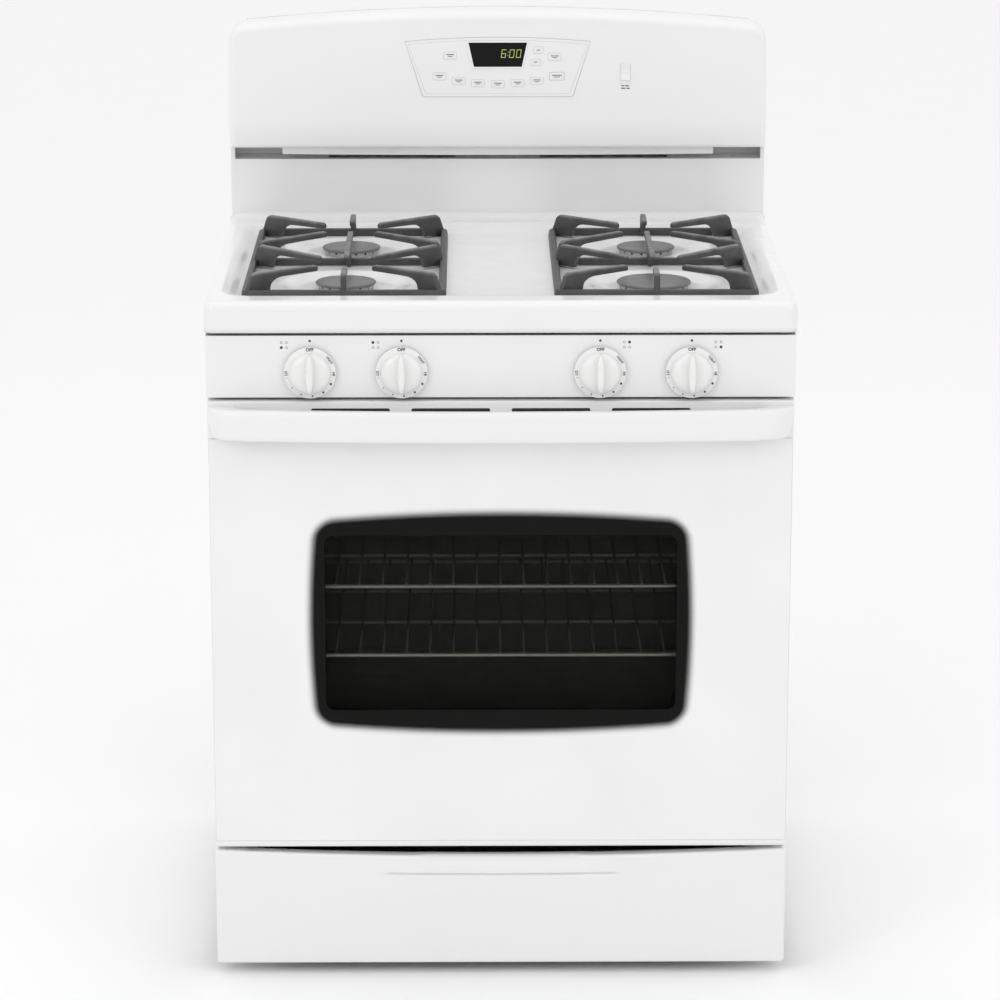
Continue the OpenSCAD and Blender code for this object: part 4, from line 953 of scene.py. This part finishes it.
digit_v = axis_h + 12.5
digits = []
for lit, digit_x in (("afedcg", 4.0), ("abcdef", 15.5), ("abcdef", 25.0)):
    digits += digit_segments(lit, digit_x, digit_v, 7, 12, 1.3)
for colon_x, colon_v in ((14.0, 3.2), (14.7, 8.2)):
    colon = rounded_outline(0.6, 0.6, 0.3, 3) + [colon_x, digit_v + colon_v]
    digits.append(prism(colon, 0.72, 0.86))
piece("clock_digits", on_face(join(digits)), lit_digits, "range")

# ---------------------------------------------------------------- keys


def key_mark(name, cx, cv, half_x):
    """Print on a key: an arrow on the two arrow keys, else two short bars."""
    if name in ("up", "down"):
        s = 1 if name == "up" else -1
        arrow = np.array([(-3.6, -1.1 * s), (3.6, -1.1 * s), (0, 1.6 * s)])[:: s]
        return [prism(arrow + [cx, cv], 0, 0.08)]
    long = half_x - 4.5
    bars = [prism(rounded_outline(long, 0.55, 0.3, 2) + [cx, cv + 1.2], 0, 0.08)]
    bars.append(prism(rounded_outline(long * 0.6, 0.45, 0.3, 2) + [cx, cv - 1.2], 0, 0.08))
    return bars


for node in [n for n in frame["nodes"] if n.startswith("key_")]:
    low, high = reach(node)
    name = node[4:]
    cx = (low[0] + high[0]) / 2
    half_x = (high[0] - low[0]) / 2 - 1.2
    cv = ((low[2] + high[2]) / 2 + 0.6 - band_z) / lean_cos
    half_v = (high[2] - low[2]) / 2 / lean_cos - 1.9
    thick = 0.75 if name == "cancel" else 0.45
    cap = prism(rounded_outline(half_x, half_v, 2.6, 5) + [cx, cv], -1.0, 0.55)
    body = f"{name}_key"
    made = piece(
        f"pad_{name}", on_face(cap), finishes["key_plastic"], body, [node]
    )
    soften(made, 0.25, 2)
    line_x, line_v = half_x - 0.5, half_v - 0.5
    border = ring(
        rounded_outline(line_x, line_v, 2.2, 5) + [cx, cv],
        rounded_outline(line_x - thick, line_v - thick, 1.9, 5) + [cx, cv], 0.5, 0.62,
    )
    marks = [(p + [0, 0, 0.55], f) for p, f in key_mark(name, cx, cv, half_x)]
    piece(f"pad_{name}_border", on_face(border), outline_ink, body)
    ink = soft_ink if name in ("up", "down") else legend_ink
    piece(f"pad_{name}_mark", on_face(join(marks)), ink, body)

low, high = reach("light_switch")
switch_x = (low[0] + high[0]) / 2
switch_v = ((low[2] + high[2]) / 2 - band_z) / lean_cos
softened_copy("light_switch", 0.5)
frame_ring = ring(
    rounded_outline(8.8, 14.4, 2.0, 5) + [switch_x, switch_v],
    rounded_outline(7.4, 13.0, 1.2, 5) + [switch_x, switch_v], 0.0, 0.5,
)
made = piece("switch_bezel", on_face(frame_ring), plastic, "range")
soften(made, 0.25, 2)
mark = []
for row, shift, half in ((0, -4.2, 2.0), (0, 1.9, 2.9), (1, -3.4, 2.9), (1, 3.6, 2.5)):
    bar = rounded_outline(half, 0.75, 0.3, 2) + [switch_x + shift, switch_v - 18 - row * 3.4]
    mark.append(prism(bar, 0.02, 0.12))
piece("switch_mark", on_face(join(mark)), legend_ink, "range")

# ---------------------------------------------------------------- riser and vent

softened_copy("backguard_riser", 1.6, 3)


def vent_lip():
    """Console's lower flange: a thin upright strip whose lower edge sinks towards both ends."""
    x = np.linspace(-304, 304, 81)
    low_z = con_low[2] - 5.5 - 1.5 * (1 - (x / 304) ** 2)
    high_z = con_low[2] + 7
    y = reach("backguard_riser")[0][1] - 9
    section = [(y, low_z + 0.6), (y + 0.5, low_z), (y + 1.5, low_z + 0.4)]
    section += [(y + 1.5, high_z + 0 * x), (y, high_z + 0 * x)]
    points = np.stack([np.stack([x, np.full_like(x, a), b], -1) for a, b in section], 1)
    return grid(points, wrap_v=True, cap_ends=True)


piece("vent_flange", vent_lip(), plastic, "range", sharp=40)

# ---------------------------------------------------------------- control panel and knobs

softened_copy("control_panel", 1.8, 3)
panel_low = reach("control_panel")[0]


def disc(cx, cz, radius, front, thick, count=14):
    """A small flat round mark on an upright face that looks along -Y."""
    outline = rounded_outline(radius, radius, radius * 0.999, max(3, count // 4 + 1))
    return placed(prism(outline, 0, thick), UPRIGHT, (cx, front, cz))


def hollow_disc(cx, cz, radius, line, front, thick):
    """A small circle line on an upright face that looks along -Y."""
    outer = rounded_outline(radius, radius, radius * 0.999, 4)
    inner = outer * (1 - line / radius)
    return placed(ring(outer, inner, 0, thick), UPRIGHT, (cx, front, cz))


def knob_body(cx, cz, back):
    """Skirt and dome turned about the knob's axis: a thin disc that swells into a low dome."""
    profile = np.array(
        [(0, 0), (32.4, 0), (33.2, 0.6), (33.5, 1.6), (33.2, 2.9), (32.2, 3.4), (28.4, 3.6)]
        + [(27.2, 4.6), (26.6, 7.0), (25.4, 9.6), (23.2, 11.6), (19.5, 13.2), (14, 14.3)]
        + [(7, 14.9), (0, 15.1)]
    )
    return placed(lathe(profile, (0, 0), 96), UPRIGHT, (cx, back, cz))


def knob_blade(cx, cz, front, back):
    """Grip: an upright bar carried along z whose section narrows outwards and whose ends round off.

    Half width is 8 at the foot and 4 at the crest, drawn in to both ends like a lens; the crest
    falls away to both ends, where it meets the dome's rim.
    """
    t = np.sin(np.linspace(-1, 1, 29) * math.pi / 2)
    length = 26.3
    shrink = np.sqrt(np.maximum(0.03, 1 - np.abs(t) ** 2.1))
    crest = back - 9 - (back - 9 - front) * np.maximum(0.05, 1 - np.abs(t) ** 4.5) ** 0.5
    half_foot, half_top, roll = 8.2 * shrink, 4.4 * shrink, 2.2
    foot = back - 4
    rows_x, rows_y = [], []
    for side in (-1, 1):
        arc = np.linspace(0, math.pi / 2, 5)[::-side]
        if side < 0:
            rows_x.append(-half_foot)
            rows_y.append(foot + 0 * t)
        for a in arc:
            rows_x.append(side * (half_top - roll * shrink * (1 - math.cos(a))))
            rows_y.append(np.minimum(foot - 0.2, crest + roll * (1 - math.sin(a))))
        if side > 0:
            rows_x.append(half_foot)
            rows_y.append(foot + 0 * t)
    x = np.stack(rows_x, 1) + cx
    y = np.stack(rows_y, 1)
    z = np.broadcast_to((t * length + cz)[:, None], x.shape)
    return grid(np.stack([x, y, z], -1), wrap_v=True, cap_ends=True)


def lettering(words, cx, cz, size, turn, front, thick):
    """Generic dial lettering as a thin mesh on an upright face."""
    curve = bpy.data.curves.new("dial_words", "FONT")
    curve.body = words
    curve.size = size
    curve.align_x = "CENTER"
    curve.align_y = "CENTER"
    curve.resolution_u = 2
    curve.offset = 0.03 * size
    curve.extrude = thick / 2
    holder = bpy.data.objects.new("dial_words", curve)
    scene.collection.objects.link(holder)
    graph = bpy.context.evaluated_depsgraph_get()
    mesh = bpy.data.meshes.new_from_object(holder.evaluated_get(graph))
    flat = np.zeros(len(mesh.vertices) * 3)
    mesh.vertices.foreach_get("co", flat)
    flat = flat.reshape(-1, 3)
    faces = [list(p.vertices) for p in mesh.polygons]
    bpy.data.objects.remove(holder)
    bpy.data.meshes.remove(mesh)
    words = placed((flat, faces), turned(turn), (0, 0, thick / 2))
    return placed(words, UPRIGHT, (cx, front, cz))


def around(cx, cz, radius, clock):
    """A place on a circle, by degrees clockwise from the top."""
    a = math.radians(clock)
    return cx + radius * math.sin(a), cz + radius * math.cos(a)


# text, place on the dial clockwise from the top, letter size and turn of the text
DIAL_WORDS = (
    ("OFF", 0, 5.8, 0), ("LIGHT", 56, 4.2, -56), ("HI", 92, 4.8, -92), ("LO", 270, 4.8, 90)
)
# thickness of print
PRINT_T = 0.12
# the burner that each knob serves, by its place in the square of four
filled = {1: (-1, -1), 2: (-1, 1), 3: (1, 1), 4: (1, -1)}
for i in (1, 2, 3, 4):
    node = f"knob_{i}"
    low, high = reach(node)
    cx, cz = (low[0] + high[0]) / 2, (low[2] + high[2]) / 2
    front, back = low[1], high[1]
    body = f"dial_{i}"
    piece(
        f"dial_{i}_body", knob_body(cx, cz, back), knob_plastic, body, [node],
        sharp=50,
    )
    grip = knob_blade(cx, cz, front, back)
    piece(f"dial_{i}_grip", grip, knob_plastic, body, sharp=50)
    skirt = back - 3.55
    words = [
        lettering(text, *around(cx, cz, 30.4, clock), size, math.radians(turn), skirt, PRINT_T)
        for text, clock, size, turn in DIAL_WORDS
    ]
    piece(f"dial_{i}_words", join(words), legend_ink, body)
    dots = [
        disc(*around(cx, cz, 30.2, 118 + k * 28), 1.55 - 0.2 * k, skirt, PRINT_T)
        for k in range(6)
    ]
    piece(f"dial_{i}_dots", join(dots), legend_ink, body)
    face = panel_low[1]
    index = [disc(cx, cz + 40.5, 1.6, face, PRINT_T, 20)]
    square = cx + (-33 if cx < 0 else 34)
    for sx in (-1, 1):
        for sz in (-1, 1):
            px, pz = square + sx * 3.3, cz + 35.2 + sz * 3.3
            if (sx, sz) == filled[i]:
                index.append(disc(px, pz, 1.85, face, PRINT_T, 20))
            else:
                index.append(hollow_disc(px, pz, 1.6, 0.45, face, PRINT_T))
    piece(f"panel_marks_{i}", join(index), legend_ink, "range")

# ---------------------------------------------------------------- door

handle_low, handle_high = reach("door_handle")
door_low = reach("door_shell")[0]
door_y = door_low[1]
pane_centre = (0.0, (door_low[2] + 308.6) / 1000)
finishes["white_glass"] = printed_glass(pane_centre, (0.2495, 0.150), (0.2285, 0.118))
softened_copy("door_front_glass", 0.8, 2)
softened_copy("door_shell", 1.2, 2)


def handle_bar():
    """Handle: a soft-edged bar carried across on a shallow bow whose ends turn back to the trim.

    The front stands 50 in front of the door at the middle and 32 near the ends; the section is
    a rounded rectangle that thickens inwards where the bar meets the trim.
    """
    half = handle_high[0] - 1.0
    t = np.sin(np.linspace(-1, 1, 121) * math.pi / 2)
    share = 34 / half
    past = (np.abs(t) - 1 + share) / share
    end = np.where(past < 0, 1.0, np.sqrt(np.maximum(0, 1 - past**2)))
    bow = 50 - 18 * t**2
    front = 3.4 + (bow - 3.4) * end - 0.6
    thick = np.minimum(16.5 + 30 * smooth_step(np.abs(t), 0.86, 0.97), front - 1.2)
    thick = np.maximum(thick, 1.2)
    low_z, high_z = handle_low[2] + 3.5, handle_low[2] + 44.0
    slope = 6.0 * smooth_step(np.abs(t), 0.93, 1.0)
    mid_z, half_z = (low_z + high_z) / 2, (high_z - low_z) / 2
    angle = np.linspace(0, 2 * math.pi, 36, endpoint=False)
    ca, sa = np.cos(angle), np.sin(angle)

    def soft(v):
        """Squares up a circle into the section's rounded rectangle."""
        return np.sign(v) * np.abs(v) ** 0.42

    y = -(front - thick / 2)[:, None] - (thick / 2)[:, None] * soft(ca)[None]
    z = mid_z + half_z * soft(sa)[None] + 0 * y
    dip = np.where(z < mid_z, 1.0, 0.0)
    x = (t * half)[:, None] - np.sign(t)[:, None] * slope[:, None] * dip * (mid_z - z) / half_z
    return grid(np.stack([x + 0 * y, door_y + y, z], -1), wrap_v=True, cap_ends=True)


def trim_strip():
    """Trim behind the handle: a flat strip with rounded edges across the whole door."""
    half = handle_high[0]
    outline = np.array([(-3.8, 0.2), (-3.8, 49.8), (4.0, 49.8), (4.0, 0.2)])
    y, z = door_y + outline[:, 0], handle_low[2] + outline[:, 1]
    rings = [np.stack([np.full(4, x), y, z], -1) for x in (-half, half)]
    return grid(np.stack(rings), wrap_v=True, cap_ends=True)


piece("handle_bar", handle_bar(), plastic, "door", ["door_handle"], sharp=50)
soften(piece("handle_trim", trim_strip(), plastic, "door"), 2.4, 3)
# The trim's air slots are not cut; thin near-black patches on its face are painted shadow in their
# place.
slot = prism(rounded_outline(50.5, 2.6, 2.5, 4), 0, 0.3)
slot_shapes = [
    placed(slot, UPRIGHT, ((k - 1.5) * 128.5, door_y - 3.75, handle_high[2] - 12.2))
    for k in range(4)
]
piece("handle_slot_painted_shadow", join(slot_shapes), slot_shadow_paint, "door")

# ---------------------------------------------------------------- drawer front

dr_low, dr_high = reach("drawer_front")


def drawer_face():
    """Drawer front: rolled border, a top edge that dips to the middle, a scoop and a crease.

    The face's depth falls away in the scoop, a soft half ellipse under the top edge, and a
    shallow raised line curves across below it.
    """
    corner, roll = 5, 4
    steps = edge_steps(corner, roll, 17)
    a_core = (dr_low[0] + corner, dr_high[0] - corner)
    b_core = (dr_low[2] + corner, dr_high[2] - corner)
    a = spread(*a_core, steps, 4.0)
    fine = np.linspace(dr_high[2] - 40, dr_high[2] - corner, 30)
    b = spread(*b_core, steps, 4.0, extra=fine)
    x, z, drop = rolled_sheet(a, b, a_core, b_core, corner, roll)
    upper = smooth_step(z, dr_high[2] - 60, dr_high[2])
    z = z - 9.5 * (1 - np.clip(np.abs(x) / 375, 0, 1) ** 2) * upper
    y = dr_low[1] + drop
    line_z = dr_high[2] - 33.5 - 1.6 * (1 - (np.clip(x / 158, -1, 1)) ** 2)
    along = smooth_step(158 - np.abs(x), 0, 10)
    y = y + 3.2 * np.exp(-(((z - line_z) / 1.2) ** 2)) * along
    scoop_x = smooth_step(118 - np.abs(x), 0, 26)
    scoop_z = smooth_step(z, dr_high[2] - 24, dr_high[2] - 6)
    y = y + 7.0 * scoop_x * scoop_z
    return grid(np.stack([x, np.minimum(y, dr_high[1] - 0.2), z], -1))


drawer = piece(
    "drawer_panel", drawer_face(), enamel, "drawer", ["drawer_front"],
    facing=(0, -1, 0),
)
thicken(drawer, 1.2)

# ---------------------------------------------------------------- skins and carried-over nodes

for node in ("side_panels", "rear_panel", "console_rear_cover", "door_inner_panel"):
    softened_copy(node, 0.8, 2)
softened_copy("levelling_legs", 0.0)
for node, obj in frame["nodes"].items():
    if obj.hide_render:
        continue
    obj.data.materials.clear()
    obj.data.materials.append(finishes[slot_of[node]])

# ---------------------------------------------------------------- stage, light and camera

low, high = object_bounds()
centre = (np.array(low) + np.array(high)) / 2


def stage_floor():
    """Pale level floor that runs out of sight on every side."""
    mesh = bpy.data.meshes.new("floor")
    far = 90.0
    corners = [(-far, -far, 0), (far, -far, 0), (far, far, 0), (-far, far, 0)]
    mesh.from_pydata(corners, [], [(0, 1, 2, 3)])
    made = bpy.data.objects.new("floor", mesh)
    scene.collection.objects.link(made)
    pale = coated("pale_floor", (0.95, 0.95, 0.95), 0.7, 40, 0.005, depth=0.0001)
    mesh.materials.append(pale)


stage_floor()


def soft_light(name, place, target, size, power):
    """A square area light at a place, turned to its target."""
    lamp = bpy.data.lights.new(name, "AREA")
    lamp.shape = "RECTANGLE"
    lamp.size, lamp.size_y = size
    lamp.energy = power
    made = bpy.data.objects.new(name, lamp)
    scene.collection.objects.link(made)
    aim(made, place, target)


def aim(obj, place, target):
    """Puts a lamp or camera at a place and turns its view to the target."""
    away = np.array(target, float) - np.array(place, float)
    obj.location = place
    flat = math.hypot(away[0], away[1])
    obj.rotation_euler = (math.atan2(flat, -away[2]), 0, math.atan2(-away[0], away[1]))


soft_light("key_left", (-2.6, -3.2, 2.9), (0, 0, 0.6), (1.6, 2.2), 20)
soft_light("fill_right", (2.8, -3.0, 2.2), (0, 0, 0.6), (1.6, 2.2), 9)
soft_light("overhead", (0, -0.3, 3.6), (0, 0, 0.6), (2.4, 2.4), 10)
world = bpy.data.worlds.new("studio")
world.use_nodes = True
sky = world.node_tree.nodes["Background"]
sky.inputs["Color"].default_value = (1, 1, 1, 1)
sky.inputs["Strength"].default_value = 0.96
scene.world = world
scene.view_settings.view_transform = "Standard"

camera_data = bpy.data.cameras.new("camera")
camera = bpy.data.objects.new("camera", camera_data)
scene.collection.objects.link(camera)
scene.camera = camera
camera_data.sensor_width = 36
camera_data.lens = 136
aim(camera, (-0.036, -5.02, 1.885), (0.0, -0.15, 0.613))
camera_data.clip_end = 400
